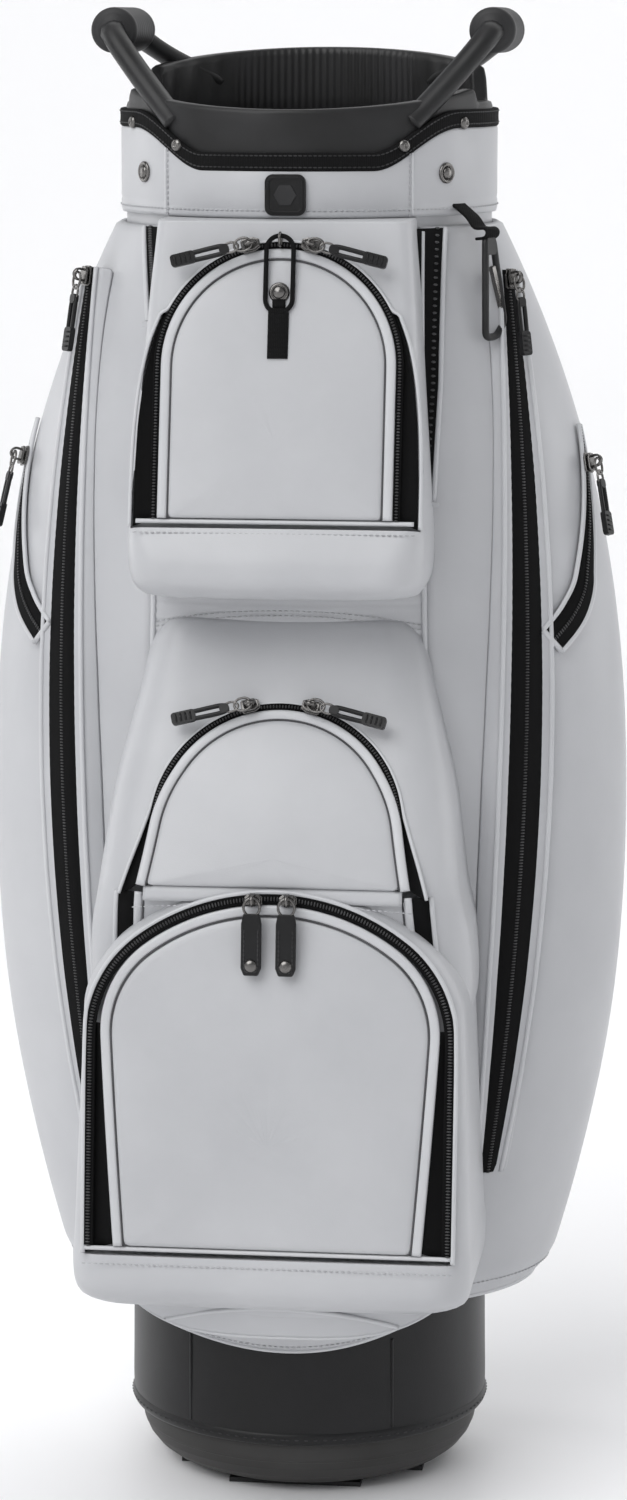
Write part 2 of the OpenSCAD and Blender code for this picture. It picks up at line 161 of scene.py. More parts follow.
def sweep_mesh(path, normals, profile, closed=False, scale=None):
    """Vertices and faces of a closed profile of (across, out) points swept along a path."""
    path = np.asarray(path, float)
    count = len(path)
    if closed:
        tangent = np.roll(path, -1, 0) - np.roll(path, 1, 0)
    else:
        tangent = np.gradient(path, axis=0)
    tangent = unit(tangent)
    normals = np.broadcast_to(np.asarray(normals, float), path.shape)
    out = unit(normals - (normals * tangent).sum(-1, keepdims=True) * tangent)
    across = np.cross(tangent, out)
    profile = np.asarray(profile, float)
    size = np.ones(count) if scale is None else np.asarray(scale, float)
    verts = (path[:, None] + across[:, None] * (profile[None, :, 0:1] * size[:, None, None])
             + out[:, None] * (profile[None, :, 1:2] * size[:, None, None]))
    sides = len(profile)
    faces = []
    for r in range(count if closed else count - 1):
        s = (r + 1) % count
        for c in range(sides):
            d = (c + 1) % sides
            faces.append((r * sides + c, r * sides + d, s * sides + d, s * sides + c))
    if not closed:
        faces.append(tuple(range(sides - 1, -1, -1)))
        faces.append(tuple((count - 1) * sides + c for c in range(sides)))
    return verts.reshape(-1, 3), faces


def sweep(name, path, normals, profile, material, closed=False, scale=None):
    verts, faces = sweep_mesh(path, normals, profile, closed, scale)
    return mesh_object(name, verts, faces, material)


def oval(width, height, lift=0.0, sides=12):
    """An elliptic section as (across, out) points."""
    a = np.linspace(0, 2 * np.pi, sides, endpoint=False)
    return np.stack([width / 2 * np.cos(a), lift + height / 2 * np.sin(a)], -1)


def strap_profile(width, height, lift=0.0, steps=4):
    """A flat strap's section with rounded edges."""
    r = height / 2
    right = [(width / 2 - r + r * math.cos(a), lift + r * math.sin(a))
             for a in np.linspace(-math.pi / 2, math.pi / 2, steps + 1)]
    left = [(r - width / 2 - r * math.cos(a), lift - r * math.sin(a))
            for a in np.linspace(-math.pi / 2, math.pi / 2, steps + 1)]
    return np.array(right + left)


def resample(path, step, extras=()):
    """Even points along a path, with other per-point values carried along."""
    path = np.asarray(path, float)
    length = np.concatenate([[0], np.cumsum(np.linalg.norm(np.diff(path, axis=0), axis=1))])
    count = max(2, int(round(length[-1] / step)) + 1)
    at = np.linspace(0, length[-1], count)

    def pick(values):
        values = np.broadcast_to(np.asarray(values, float), path.shape)
        return np.stack([np.interp(at, length, values[:, k]) for k in range(3)], -1)

    return [pick(path)] + [pick(e) for e in extras]


def many(name, centres, axes, normals, shape, material):
    """Copies of one small shape (verts, faces) along a path, as one mesh. Shape X runs along the path."""
    verts, faces = shape
    verts = np.asarray(verts, float)
    axes = unit(np.broadcast_to(axes, centres.shape))
    out = unit(normals - (normals * axes).sum(-1, keepdims=True) * axes)
    across = np.cross(out, axes)
    all_verts = (centres[:, None] + axes[:, None] * verts[None, :, 0:1]
                 + across[:, None] * verts[None, :, 1:2] + out[:, None] * verts[None, :, 2:3])
    all_faces = [tuple(v + k * len(verts) for v in f) for k in range(len(centres)) for f in faces]
    return mesh_object(name, all_verts.reshape(-1, 3), all_faces, material)


def bead(length, width, height, rings=5, sides=8):
    """A small closed capsule along X."""
    verts = [(-length / 2, 0, 0)]
    for k in range(1, rings):
        a = math.pi * k / rings
        for s in range(sides):
            b = 2 * math.pi * s / sides
            verts.append((-length / 2 * math.cos(a), width / 2 * math.sin(a) * math.cos(b),
                          height / 2 * math.sin(a) * math.sin(b)))
    verts.append((length / 2, 0, 0))
    faces = [(0, 1 + (s + 1) % sides, 1 + s) for s in range(sides)]
    for k in range(rings - 2):
        for s in range(sides):
            a, b = 1 + k * sides + s, 1 + k * sides + (s + 1) % sides
            faces.append((a, b, b + sides, a + sides))
    end = 1 + (rings - 2) * sides
    faces += [(end + s, end + (s + 1) % sides, len(verts) - 1) for s in range(sides)]
    return verts, faces


def stitches(name, path, normals, material, pitch=3.6, lift=0.35):
    """Evenly spaced stitches lying along a path."""
    points, out = resample(path, pitch, [normals])
    axes = np.gradient(points, axis=0)
    return many(name, points + unit(out) * lift, axes, out, bead(2.7, 0.9, 0.8), material)


def lathe(name, profile, material, squareness=2.0, turns=128, start=0.0, end=360.0):
    """Turns an (r, z) outline about Z; squareness above 2 makes the plan a rounded square."""
    whole = abs(end - start) >= 360
    angles = np.radians(np.linspace(start, end, turns, endpoint=not whole))
    stretch = (np.abs(np.cos(angles)) ** squareness
               + np.abs(np.sin(angles)) ** squareness) ** (-1 / squareness)
    profile = np.asarray(profile, float)
    r = profile[:, 0][:, None] * stretch
    points = np.stack([r * np.sin(angles), -r * np.cos(angles),
                       np.broadcast_to(profile[:, 1][:, None], r.shape)], -1)
    return sheet(name, points, material, wrap=whole)


def bevel(obj, width, segments=2, angle=35):
    """Rounds the sharp edges of an object."""
    mod = obj.modifiers.new("bevel", "BEVEL")
    mod.width = width * MM
    mod.segments = segments
    mod.limit_method = "ANGLE"
    mod.angle_limit = math.radians(angle)
    return obj


def plate(name, outline, thickness, material, holes=()):
    """A flat plate in the XY plane from an outline and holes, centred on z = 0."""
    curve = bpy.data.curves.new(name, "CURVE")
    curve.dimensions = "2D"
    curve.fill_mode = "BOTH"
    curve.extrude = thickness / 2 * MM
    for ring in [outline, *holes]:
        spline = curve.splines.new("POLY")
        spline.points.add(len(ring) - 1)
        for p, (x, y) in zip(spline.points, ring):
            p.co = (x * MM, y * MM, 0, 1)
        spline.use_cyclic_u = True
    temp = bpy.data.objects.new(name, curve)
    bpy.context.scene.collection.objects.link(temp)
    graph = bpy.context.evaluated_depsgraph_get()
    mesh = bpy.data.meshes.new_from_object(temp.evaluated_get(graph))
    bpy.data.objects.remove(temp)
    mesh.materials.clear()
    mesh.materials.append(material)
    obj = bpy.data.objects.new(name, mesh)
    bpy.context.scene.collection.objects.link(obj)
    weld = obj.modifiers.new("weld", "WELD")
    weld.merge_threshold = 0.01 * MM
    return obj


def place(obj, matrix):
    """Bakes a 4 by 4 placement, in mm, into the mesh."""
    m = Matrix(matrix.tolist())
    m.translation = m.translation * MM
    obj.data.transform(m)
    return obj


def done(obj, body, slot, *nodes):
    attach(obj, body)
    if nodes:
        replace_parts(obj, *nodes)
    return obj


# ---------------------------------------------------------------- materials

class Shader:
    """A node material with short ways to add textures to its one Principled shader."""

    def __init__(self, name, color, roughness, metallic=0.0):
        self.material = bpy.data.materials.new(name)
        self.material.use_nodes = True
        self.tree = self.material.node_tree
        self.bsdf = self.tree.nodes["Principled BSDF"]
        self.bsdf.inputs["Base Color"].default_value = (*color, 1)
        self.bsdf.inputs["Roughness"].default_value = roughness
        self.bsdf.inputs["Metallic"].default_value = metallic
        self.coords = self.tree.nodes.new("ShaderNodeTexCoord").outputs["Object"]
        self.height = None

    def add(self, kind, inputs=None, **values):
        node = self.tree.nodes.new(kind)
        for key, value in values.items():
            setattr(node, key, value)
        for key, value in (inputs or {}).items():
            if isinstance(value, bpy.types.NodeSocket):
                self.tree.links.new(value, node.inputs[key])
            else:
                node.inputs[key].default_value = value
        return node

    def noise(self, scale, detail=3.0, roughness=0.5, stretch=None):
        vector = self.coords
        if stretch:
            vector = self.add("ShaderNodeMapping", {"Vector": vector, "Scale": stretch}).outputs[0]
        return self.add("ShaderNodeTexNoise", {"Vector": vector, "Scale": scale,
                        "Detail": detail, "Roughness": roughness}).outputs["Fac"]

    def cells(self, scale, feature="DISTANCE_TO_EDGE"):
        return self.add("ShaderNodeTexVoronoi", {"Vector": self.coords, "Scale": scale},
                        feature=feature).outputs["Distance"]

    def wave(self, scale, direction="Z", distortion=0.0):
        return self.add("ShaderNodeTexWave", {"Vector": self.coords, "Scale": scale,
                        "Distortion": distortion, "Detail": 1.0},
                        bands_direction=direction).outputs["Fac"]

    def math(self, operation, a, b):
        return self.add("ShaderNodeMath", {0: a, 1: b}, operation=operation).outputs[0]

    def range(self, value, low, high, to_low, to_high):
        return self.add("ShaderNodeMapRange", {"Value": value, "From Min": low, "From Max": high,
                        "To Min": to_low, "To Max": to_high}).outputs[0]

    def tint(self, value, dark, light):
        ramp = self.tree.nodes.new("ShaderNodeValToRGB")
        ramp.color_ramp.elements[0].color = (*dark, 1)
        ramp.color_ramp.elements[1].color = (*light, 1)
        self.tree.links.new(value, ramp.inputs[0])
        self.tree.links.new(ramp.outputs[0], self.bsdf.inputs["Base Color"])
        return ramp

    def rough(self, value, low, high):
        self.tree.links.new(self.range(value, 0, 1, low, high), self.bsdf.inputs["Roughness"])

    def bump(self, height, strength, distance):
        inputs = {"Height": height, "Strength": strength, "Distance": distance * MM}
        if self.height:
            inputs["Normal"] = self.height
        self.height = self.add("ShaderNodeBump", inputs).outputs[0]
        self.tree.links.new(self.height, self.bsdf.inputs["Normal"])


def leather(name, dark, light, roughness, coat=0.0, grain=900.0, shine=0.45):
    """Fine pebbled leather: small cells, soft large clouds of colour and sheen."""
    s = Shader(name, light, roughness)
    clouds = s.noise(9, 4, 0.55)
    s.tint(s.range(clouds, 0.3, 0.7, 0, 1), dark, light)
    s.rough(s.noise(14, 3), roughness - 0.06, roughness + 0.08)
    pebble = s.math("MINIMUM", s.cells(grain), 0.22)
    s.bump(pebble, 0.22, 0.35)
    s.bump(s.noise(grain * 0.45, 3), 0.12, 0.3)
    s.bump(s.noise(26, 2), 0.10, 1.4)
    s.bsdf.inputs["Specular IOR Level"].default_value = shine
    s.bsdf.inputs["Coat Weight"].default_value = coat
    s.bsdf.inputs["Coat Roughness"].default_value = 0.35
    s.bsdf.inputs["Sheen Weight"].default_value = 0.03
    return s.material


def moulded(name, dark, light, roughness, grain=1500.0, shine=0.3):
    """Moulded plastic or rubber with a fine spark texture."""
    s = Shader(name, light, roughness)
    s.tint(s.range(s.noise(30, 4), 0.3, 0.7, 0, 1), dark, light)
    s.rough(s.noise(60, 3), roughness - 0.07, roughness + 0.08)
    s.bsdf.inputs["Specular IOR Level"].default_value = shine
    s.bump(s.noise(grain, 4, 0.7), 0.25, 0.25)
    s.bump(s.noise(45, 2), 0.06, 1.0)
    return s.material


def woven(name, dark, light, scale=520.0, axis="Z", cross="X"):
    """Webbing or zip tape: two crossing sets of threads."""
    s = Shader(name, light, 0.85)
    warp = s.wave(scale, axis, 0.4)
    weft = s.wave(scale * 0.7, cross, 0.4)
    weave = s.math("MULTIPLY", warp, weft)
    s.tint(s.range(weave, 0, 1, 0.1, 1), dark, light)
    s.bump(weave, 0.55, 0.5)
    s.bump(s.noise(900, 3), 0.2, 0.2)
    s.bsdf.inputs["Specular IOR Level"].default_value = 0.15
    return s.material


def metal(name, color, roughness):
    """Metal with a slightly uneven sheen."""
    s = Shader(name, color, roughness, metallic=1.0)
    s.rough(s.noise(220, 3), roughness - 0.05, roughness + 0.10)
    s.bump(s.noise(500, 2), 0.05, 0.1)
    return s.material


PALE = leather("pale_leather", (0.425, 0.431, 0.448), (0.480, 0.486, 0.502), 0.40, coat=0.08)
# painted highlight: a lighter copy of the pale leather for rolled edges, bindings and tacks, standing in for
# the light they catch
PALE_ROLL_PAINTED_HIGHLIGHT = leather("pale_piping_painted_highlight", (0.480, 0.487, 0.504), (0.540, 0.547, 0.562), 0.38, coat=0.10)
DARK_LEATHER = leather("black_leather", (0.005, 0.005, 0.005), (0.010, 0.010, 0.011), 0.38, grain=700,
                       shine=0.28)
PLASTIC = moulded("moulded_plastic", (0.013, 0.013, 0.013), (0.020, 0.020, 0.021), 0.42)
CUP_PLASTIC = moulded("cup_plastic", (0.030, 0.029, 0.028), (0.042, 0.041, 0.040), 0.50)
RUBBER = moulded("grip_rubber", (0.020, 0.020, 0.021), (0.032, 0.032, 0.033), 0.52, grain=1100)
PULL = moulded("pull_rubber", (0.004, 0.004, 0.004), (0.009, 0.009, 0.010), 0.34)
TAPE = woven("zip_tape", (0.002, 0.002, 0.002), (0.007, 0.007, 0.008), 900)
MESH_CLOTH = woven("gusset_cloth", (0.003, 0.003, 0.003), (0.008, 0.008, 0.009), 1100)
WEBBING = woven("webbing", (0.003, 0.003, 0.003), (0.012, 0.012, 0.013), 420)
LINING = woven("lining", (0.004, 0.004, 0.004), (0.010, 0.010, 0.011), 700)
TEETH = moulded("zip_teeth", (0.022, 0.022, 0.023), (0.055, 0.055, 0.057), 0.30, shine=0.5)
THREAD = moulded("pale_thread", (0.34, 0.345, 0.36), (0.46, 0.465, 0.48), 0.6)
DARK_THREAD = moulded("dark_thread", (0.02, 0.02, 0.021), (0.05, 0.05, 0.052), 0.6)
# painted shade: a dark line that stands in for the shadow in the groove of a seam
PAINTED_SEAM_SHADOW = moulded("seam_shadow", (0.05, 0.05, 0.053), (0.09, 0.09, 0.095), 0.8)
GUNMETAL = metal("gunmetal", (0.16, 0.155, 0.15), 0.24)
ROD = metal("rod", (0.62, 0.62, 0.64), 0.35)


# ---------------------------------------------------------------- rolled edges, threads and placements

def piping(name, path, out, width, height=None):
    """A rolled leather edge along a path of the bag, in the lighter leather whose extra lightness is painted
    highlight.
    """
    return done(sweep(name, path, out, oval(width, height or width), PALE_ROLL_PAINTED_HIGHLIGHT), "bag", "leather")


def sewn(name, path, out, pitch=3.6):
    """Pale stitches along a path of the bag."""
    return done(stitches(name, path, out, THREAD, pitch), "bag", "leather")


def round_axis(r, angle, z):
    """Points at a radius and an angle (radians, from the front) about the bag's axis."""
    return np.stack(np.broadcast_arrays(r * np.sin(angle), -r * np.cos(angle), z), -1)


def move(x, y, z):
    """Placement moved by x, y, z in mm."""
    m = np.eye(4)
    m[:3, 3] = (x, y, z)
    return m


def turn(degrees, axis):
    """Placement turned about one axis."""
    return np.array(Matrix.Rotation(math.radians(degrees), 4, axis))


MIRROR = np.diag([-1.0, 1.0, 1.0, 1.0])
SIDES = {"left": -1, "right": 1}


def apply(m, points):
    """Points carried through a placement."""
    points = np.asarray(points, float)
    return points @ m[:3, :3].T + m[:3, 3]


class Pocket:
    """A front pocket: its sloping plane (X right, Y up the slope, Z outward) and its arched panel."""

    def __init__(self, name, joint, lean, crown, corner):
        low, high = box(name + "_panel")
        self.w = high[0]
        self.lean = lean
        c, s = math.cos(math.radians(lean)), math.sin(math.radians(lean))
        pivot = np.array(JOINTS[joint]["pos_m"]) / MM
        # the hinge axis lies 2 mm up the slope and 1.9 mm out of the pocket's plane
        self.origin = np.array([0, pivot[1] - 2 * s + 1.9 * c, pivot[2] - 2 * c - 1.9 * s])
        self.m = move(*self.origin) @ turn(90 - lean, "X")
        self.crown, self.corner = crown, corner
        top = ((high[2] - self.origin[2]) - 3.4 * s) / c - 2
        self.rise = 0 if crown == corner else math.sqrt(
            (crown - corner) ** 2 - (self.w - corner) ** 2)
        self.h = top - crown + self.rise
        self.crown_y = 2 + self.h - self.rise
        self.crown_r = crown + 4.05

    def arch(self, grow, step=3.0, drop=0.0, spread=0.0, spread_y=150.0):
        """Points round the arch from the lower right to the lower left, in the pocket's plane.

        spread widens the foot of the arch, fading out at spread_y."""
        w, r1, r2 = self.w + grow, self.crown + grow, self.corner + grow
        full = 90 if self.rise == 0 else math.degrees(math.asin(self.rise / (self.crown - self.corner)))
        right = [(w, 2 - drop)]
        for a in np.radians(np.linspace(0, full, 24)):
            right.append((w - r2 + r2 * math.cos(a), 2 + self.h + r2 * math.sin(a)))
        if self.rise:
            for a in np.radians(np.linspace(full, 90, 16)[1:]):
                right.append((r1 * math.cos(a), 2 + self.h - self.rise + r1 * math.sin(a)))
        left = [(-x, y) for x, y in right[::-1]]
        path = np.array([(x, y, 0) for x, y in right + left[1 if self.rise or r1 == w else 0:]])
        path = resample(path, step)[0][:, :2]
        fade = np.clip(1 - path[:, 1] / spread_y, 0, 1) ** 1.3
        path[:, 0] += np.sign(path[:, 0]) * spread * fade
        return path

    def out(self):
        return self.m[:3, 2]

    def lift(self, xy, z):
        return apply(self.m, np.column_stack([xy, np.broadcast_to(z, len(xy))]))

    def on_arch(self, angle):
        return self.m @ move(0, self.crown_y, 3.8) @ turn(angle, "Z") @ move(0, self.crown_r, 0)


UPPER = Pocket("upper", "upper_panel_hinge", 12.2, 71, 71)
MIDDLE = Pocket("middle", "middle_panel_hinge", 23.1, 73, 73)
LOWER = Pocket("lower", "lower_panel_hinge", 6.7, 130, 70)


def smooth_curve(points, count):
    """A Catmull-Rom curve through points, evenly spaced in the parameter."""
    p = np.asarray(points, float)
    p = np.vstack([2 * p[0] - p[1], p, 2 * p[-1] - p[-2]])
    out = []
    for u in np.linspace(0, len(p) - 3 - 1e-6, count):
        k = int(u) + 1
        t = u - int(u)
        a, b, c, d = p[k - 1], p[k], p[k + 1], p[k + 2]
        out.append(0.5 * (2 * b + (c - a) * t + (2 * a - 5 * b + 4 * c - d) * t ** 2
                          + (3 * b - a - 3 * c + d) * t ** 3))
    return np.array(out)


def bake(obj):
    """Makes an object's modifiers part of its mesh."""
    graph = bpy.context.evaluated_depsgraph_get()
    mesh = bpy.data.meshes.new_from_object(obj.evaluated_get(graph))
    obj.modifiers.clear()
    obj.data = mesh


def cut_away(obj, cutter):
    """Takes the cutter's shape out of an object."""
    mod = obj.modifiers.new("cut", "BOOLEAN")
    mod.operation = "DIFFERENCE"
    mod.solver = "EXACT"
    mod.object = cutter
    bake(obj)
    bpy.data.objects.remove(cutter)
    return obj


def sharpen(obj, angle=40):
    obj.data.polygons.foreach_set("use_smooth", [True] * len(obj.data.polygons))
    obj.data.set_sharp_from_angle(angle=math.radians(angle))
    return obj


def section(w, y_front, y_back, r, crown=1.5, steps=7, across=25):
    """Horizontal outline of a soft block: rounded front corners and a slightly full front."""
    r = min(r, w * 0.9, abs(y_back - y_front) * 0.9)
    a = np.linspace(0, np.pi / 2, steps)
    left = np.stack([-w + r - r * np.cos(a), y_front + r - r * np.sin(a)], -1)
    x = np.linspace(-w + r, w - r, across)[1:-1]
    front = np.stack([x, y_front - crown * (1 - (x / (w - r)) ** 2)], -1)
    back = np.linspace(y_back, y_front + r, 6)[:-1]
    sides = np.stack([np.full(5, -w), back], -1)
    return np.vstack([sides, left, front, (left * [-1, 1])[::-1], (sides * [-1, 1])[::-1]])


def block(name, levels, material, rows=80, crown=1.5):
    """A soft pocket block lofted through (z, half width, front y, corner radius), closed all round."""
    curve = smooth_curve(levels, rows)
    rings = []
    for z, w, y, r in curve:
        outline = section(w, y, -60, r, crown)
        rings.append(np.column_stack([outline, np.full(len(outline), z)]))
    rings = np.array(rings)
    count = rings.shape[1]
    verts = rings.reshape(-1, 3)
    faces = grid_faces(rows, count, wrap=True)
    faces.append(tuple(range(count - 1, -1, -1)))
    faces.append(tuple((rows - 1) * count + c for c in range(count)))
    return mesh_object(name, verts, faces, material)


def prism(outline, m, z0, z1, material):
    """A closed prism over an outline in a local XY plane."""
    outline = np.asarray(outline, float)
    n = len(outline)
    verts = np.vstack([np.column_stack([outline, np.full(n, z0)]),
                       np.column_stack([outline, np.full(n, z1)])])
    faces = [(k, (k + 1) % n, n + (k + 1) % n, n + k) for k in range(n)]
    faces += [tuple(range(n - 1, -1, -1)), tuple(range(n, 2 * n))]
    return mesh_object("cutter", apply(m, verts), faces, material)


def cylinder(r, z0, z1, material, sides=180):
    a = np.linspace(0, 2 * np.pi, sides, endpoint=False)
    return prism(np.stack([r * np.cos(a), r * np.sin(a)], -1), np.eye(4), z0, z1, material)


# ---------------------------------------------------------------- front pockets

def pocket_shell(name, p, levels, mouth, body_nodes, crown=1.5, inset=3.2):
    """The leather shell of a front pocket, hollow, with its mouth cut open."""
    shell = block(name + "_shell", levels, PALE, crown=crown)
    shell = cut_away(shell, cylinder(CUFF_HIGH[0] - 3.2, 0, 1000, PALE))
    inner = np.array(levels, float)
    inner[:, 1] -= inset
    inner[:, 2] += inset + crown
    inner[0, 0] += inset
    inner[-1, 0] -= inset
    hollow = block("hollow", inner, LINING, crown=0)
    shell = cut_away(shell, hollow)
    shell = cut_away(shell, prism(mouth, p.m, -14, 30, LINING))
    sharpen(shell, 38)
    bevel(shell, 0.9, 2, 50)
    return done(shell, "bag", "leather", *body_nodes)


def puff(name, p, grow, base, thick, rise, flap, nodes, **shape):
    """A padded arched panel: closed, crowned, then inflated by a short cloth simulation."""
    edge = p.arch(grow, 5.0, **shape)
    centre = np.array([0, p.h * 0.5])
    loops = np.linspace(0.0, 1.0, 13)[1:]
    top, low = [], []
    for k in loops:
        ring = centre + (edge - centre) * k
        swell = rise * (1 - k ** 4)
        top.append(np.column_stack([ring, np.full(len(ring), base + thick + swell)]))
        low.append(np.column_stack([ring, np.full(len(ring), base)]))
    bottom = np.array([[x, 2.0] for x in np.linspace(-edge[0][0], edge[0][0], 30)])[1:-1]

    def closed(rows):
        """Closes each ring with its straight bottom edge."""
        out = []
        for k, ring in zip(loops, rows):
            floor = centre + (bottom - centre) * k
            out.append(np.vstack([ring, np.column_stack([floor, np.full(len(floor), ring[0][2])])]))
        return np.array(out)

    top, low = closed(top), closed(low)
    n = top.shape[1]
    verts = np.vstack([[[*centre, base + thick + rise]], top.reshape(-1, 3),
                       [[*centre, base]], low.reshape(-1, 3)])
    faces = [(0, 1 + c, 1 + (c + 1) % n) for c in range(n)]
    faces += [tuple(f[::-1]) for f in grid_faces(len(loops), n, wrap=True, start=1)]
    second = 1 + len(loops) * n
    faces += [(second, second + 1 + (c + 1) % n, second + 1 + c) for c in range(n)]
    faces += grid_faces(len(loops), n, wrap=True, start=second + 1)
    outer, under = 1 + (len(loops) - 1) * n, second + 1 + (len(loops) - 1) * n
    faces += [(outer + c, under + c, under + (c + 1) % n, outer + (c + 1) % n) for c in range(n)]
    obj = mesh_object(name, apply(p.m, verts), faces, PALE)
    # the top's two outer rings and the whole underside are held
    inflate(obj, list(range(1 + (len(loops) - 2) * n, len(verts))), cap=1.6)
    obj.modifiers.new("smooth", "SUBSURF").render_levels = 1
    return done(obj, flap, "leather", *nodes)


CLOTH_FRAMES = 20


def inflate(obj, held, cap, pressure=2.5):
    """A short run of pressurised cloth, held along its sewn edge, with the movement capped in mm."""
    before = np.array([v.co for v in obj.data.vertices])
    pins = obj.vertex_groups.new(name="pin")
    pins.add(held, 1.0, "REPLACE")
    cloth = obj.modifiers.new("cloth", "CLOTH")
    cloth.settings.use_pressure = True
    cloth.settings.uniform_pressure_force = pressure
    cloth.settings.vertex_group_mass = "pin"
    cloth.settings.effector_weights.gravity = 0
    cloth.settings.tension_stiffness = 30
    cloth.settings.bending_stiffness = 4
    scene = bpy.context.scene
    for frame in range(1, CLOTH_FRAMES + 1):
        scene.frame_set(frame)
    bake(obj)
    after = np.array([v.co for v in obj.data.vertices])
    step = after - before
    size = np.linalg.norm(step, axis=1, keepdims=True)
    after = before + step * np.minimum(1, cap * MM / np.maximum(size, 1e-9))
    obj.data.vertices.foreach_set("co", after.ravel())
    obj.data.polygons.foreach_set("use_smooth", [True] * len(obj.data.polygons))
    obj.data.update()
    scene.frame_set(1)


def round_arch(name, p, grow, z, profile, material, body, slot, step=3.0, nodes=(), **shape):
    """Something swept round a panel's arch, grown outward by grow and lifted by z."""
    path = p.lift(p.arch(grow, step, **shape), z)
    return done(sweep(name, path, p.out(), profile, material), body, slot, *nodes)


def coil(name, path, out, body, width=3.4, pitch=1.9):
    """Zip teeth along a path: short bars across it."""
    points, normals = resample(path, pitch, [np.broadcast_to(out, np.shape(path))])
    tangent = unit(np.gradient(points, axis=0))
    across = np.cross(unit(normals), tangent)
    bars = many(name, points, across, normals, bead(width, 1.1, 1.2, rings=4, sides=6), TEETH)
    return done(bars, body, "black_fabric")


def wedge(name, p, edge_in, edge_out, sag, z_in=0.6, z_out=-1.2):
    """Black gusset beside a panel, on both sides, from the panel's edge to the shell's mouth."""
    for side, s in SIDES.items():
        a = p.lift(np.array(edge_in) * [s, 1], z_in)
        b = p.lift(np.array(edge_out) * [s, 1], z_out)
        a = resample(a, 6)[0]
        b = np.stack([np.interp(np.linspace(0, 1, len(a)), np.linspace(0, 1, len(b)), b[:, k])
                      for k in range(3)], -1)
        t = np.linspace(0, 1, 9)[:, None, None]
        points = (1 - t) * a[None] + t * b[None] - p.out() * (sag * np.sin(np.pi * t))
        obj = sheet(f"{name}_{side}", points, MESH_CLOTH, thickness=0.9, offset=0)
        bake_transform(obj)


BINDING = strap_profile(6.2, 3.0, 1.2)


def mouth_line(p, grow, above, points):
    """The cut-out in a shell's front: the arch above a height, flaring through points below it."""
    arch = p.arch(grow, 4.0)
    arch = arch[arch[:, 1] > above]
    right = smooth_curve(points, 24)
    return np.vstack([[[right[0][0], -4]], right, arch, (right * [-1, 1])[::-1], [[-right[0][0], -4]]])


def mouth_roll(word, p, grow, above, points, size):
    """A rolled edge round a shell's mouth."""
    line = mouth_line(p, grow, above, points)[1:-1]
    path = resample(p.lift(line, 0.5), 2.5)[0]
    piping(f"{word}_roll", path, p.out(), size)


def dressed_panel(word, p, flap, rise, tape_grow, tape_wide, **shape):
    """Padded panel, flat rolled binding, dark painted seam shadows, zip tape and the roll round the mouth."""
    puff(f"{word}_pad", p, -6.0, 0.5, 2.4, rise, flap, [f"{word}_panel"], **shape)
    round_arch(f"{word}_binding", p, -2.9, 0.5, BINDING, PALE_ROLL_PAINTED_HIGHLIGHT, flap, "leather", **shape)
    # the seam line is painted shade: a thin dark tube in the crease between pad and binding
    round_arch(f"{word}_seam", p, -6.3, 2.3, oval(1.2, 1.6), PAINTED_SEAM_SHADOW, flap, "leather", **shape)
    round_arch(f"{word}_tape", p, tape_grow, 0.9, strap_profile(tape_wide, 1.4), TAPE, "bag",
               "black_fabric", nodes=[f"{word}_zip"])


# upper pocket
upper_side = [(87.8, -3), (87.6, 30), (86.4, 60), (83.6, 86), (79.0, 108), (72.5, 126)]
upper_levels = [(811.5, 76, -130.5, 8), (810.8, 76.5, -132.6, 8), (808, 77, -133.6, 8), (795, 78, -136.6, 8),
                (762, 81, -143.6, 9), (700, 85, -157, 9), (655, 88, -167, 9), (636, 89, -172, 10),
                (622, 90, -180, 16), (608, 90, -186, 24), (596, 88.5, -185, 28), (588.5, 85, -176, 30),
                (586, 80, -166, 30)]
pocket_shell("upper", UPPER, upper_levels, mouth_line(UPPER, 4.6, 128, upper_side), ["upper_pocket"])
dressed_panel("upper", UPPER, "upper_flap", 3.0, 2.4, 4.4)
mouth_roll("upper", UPPER, 5.0, 128, upper_side, 2.2)
wedge("upper_gusset", UPPER, [(71, 3), (71, 50), (71, 92), (63, 128)],
      [(x - 1.8, y) for x, y in upper_side], 2.0)

# middle pocket
middle_side = [(94, -3), (89, 14), (82.5, 34), (77.6, 50)]
middle_levels = [(568, 70, -112, 16), (564, 78, -118, 20), (550, 86, -125.5, 24), (520, 92.5, -137.5, 27),
                 (470, 104, -158.6, 30), (430, 109, -175.7, 30), (412, 111, -182, 30), (400, 113, -182, 30),
                 (380, 117, -176, 30), (350, 119, -166, 30), (330, 117, -156, 30), (322, 112, -146, 30)]
pocket_shell("middle", MIDDLE, middle_levels, mouth_line(MIDDLE, 4.6, 52, middle_side), ["middle_pocket"])
dressed_panel("middle", MIDDLE, "middle_flap", 3.2, 2.4, 4.4, spread=11, spread_y=75)
mouth_roll("middle", MIDDLE, 5.0, 52, middle_side, 2.2)
wedge("middle_gusset", MIDDLE, [(83, 3), (79, 18), (75, 38), (73, 52)], middle_side, 2.0)


def middle_front(x, z, lift):
    """A point on the middle pocket's front, below its panel."""
    corner = 30
    height, wide, front = np.array(middle_levels)[-2:4:-1, :3].T
    w, y = np.interp(z, height, wide), np.interp(z, height, front)
    round_by = np.clip(np.abs(x) - (w - corner), 0, corner - 1)
    return np.stack([x, y + corner - np.sqrt(corner ** 2 - round_by ** 2) - lift, z], -1)
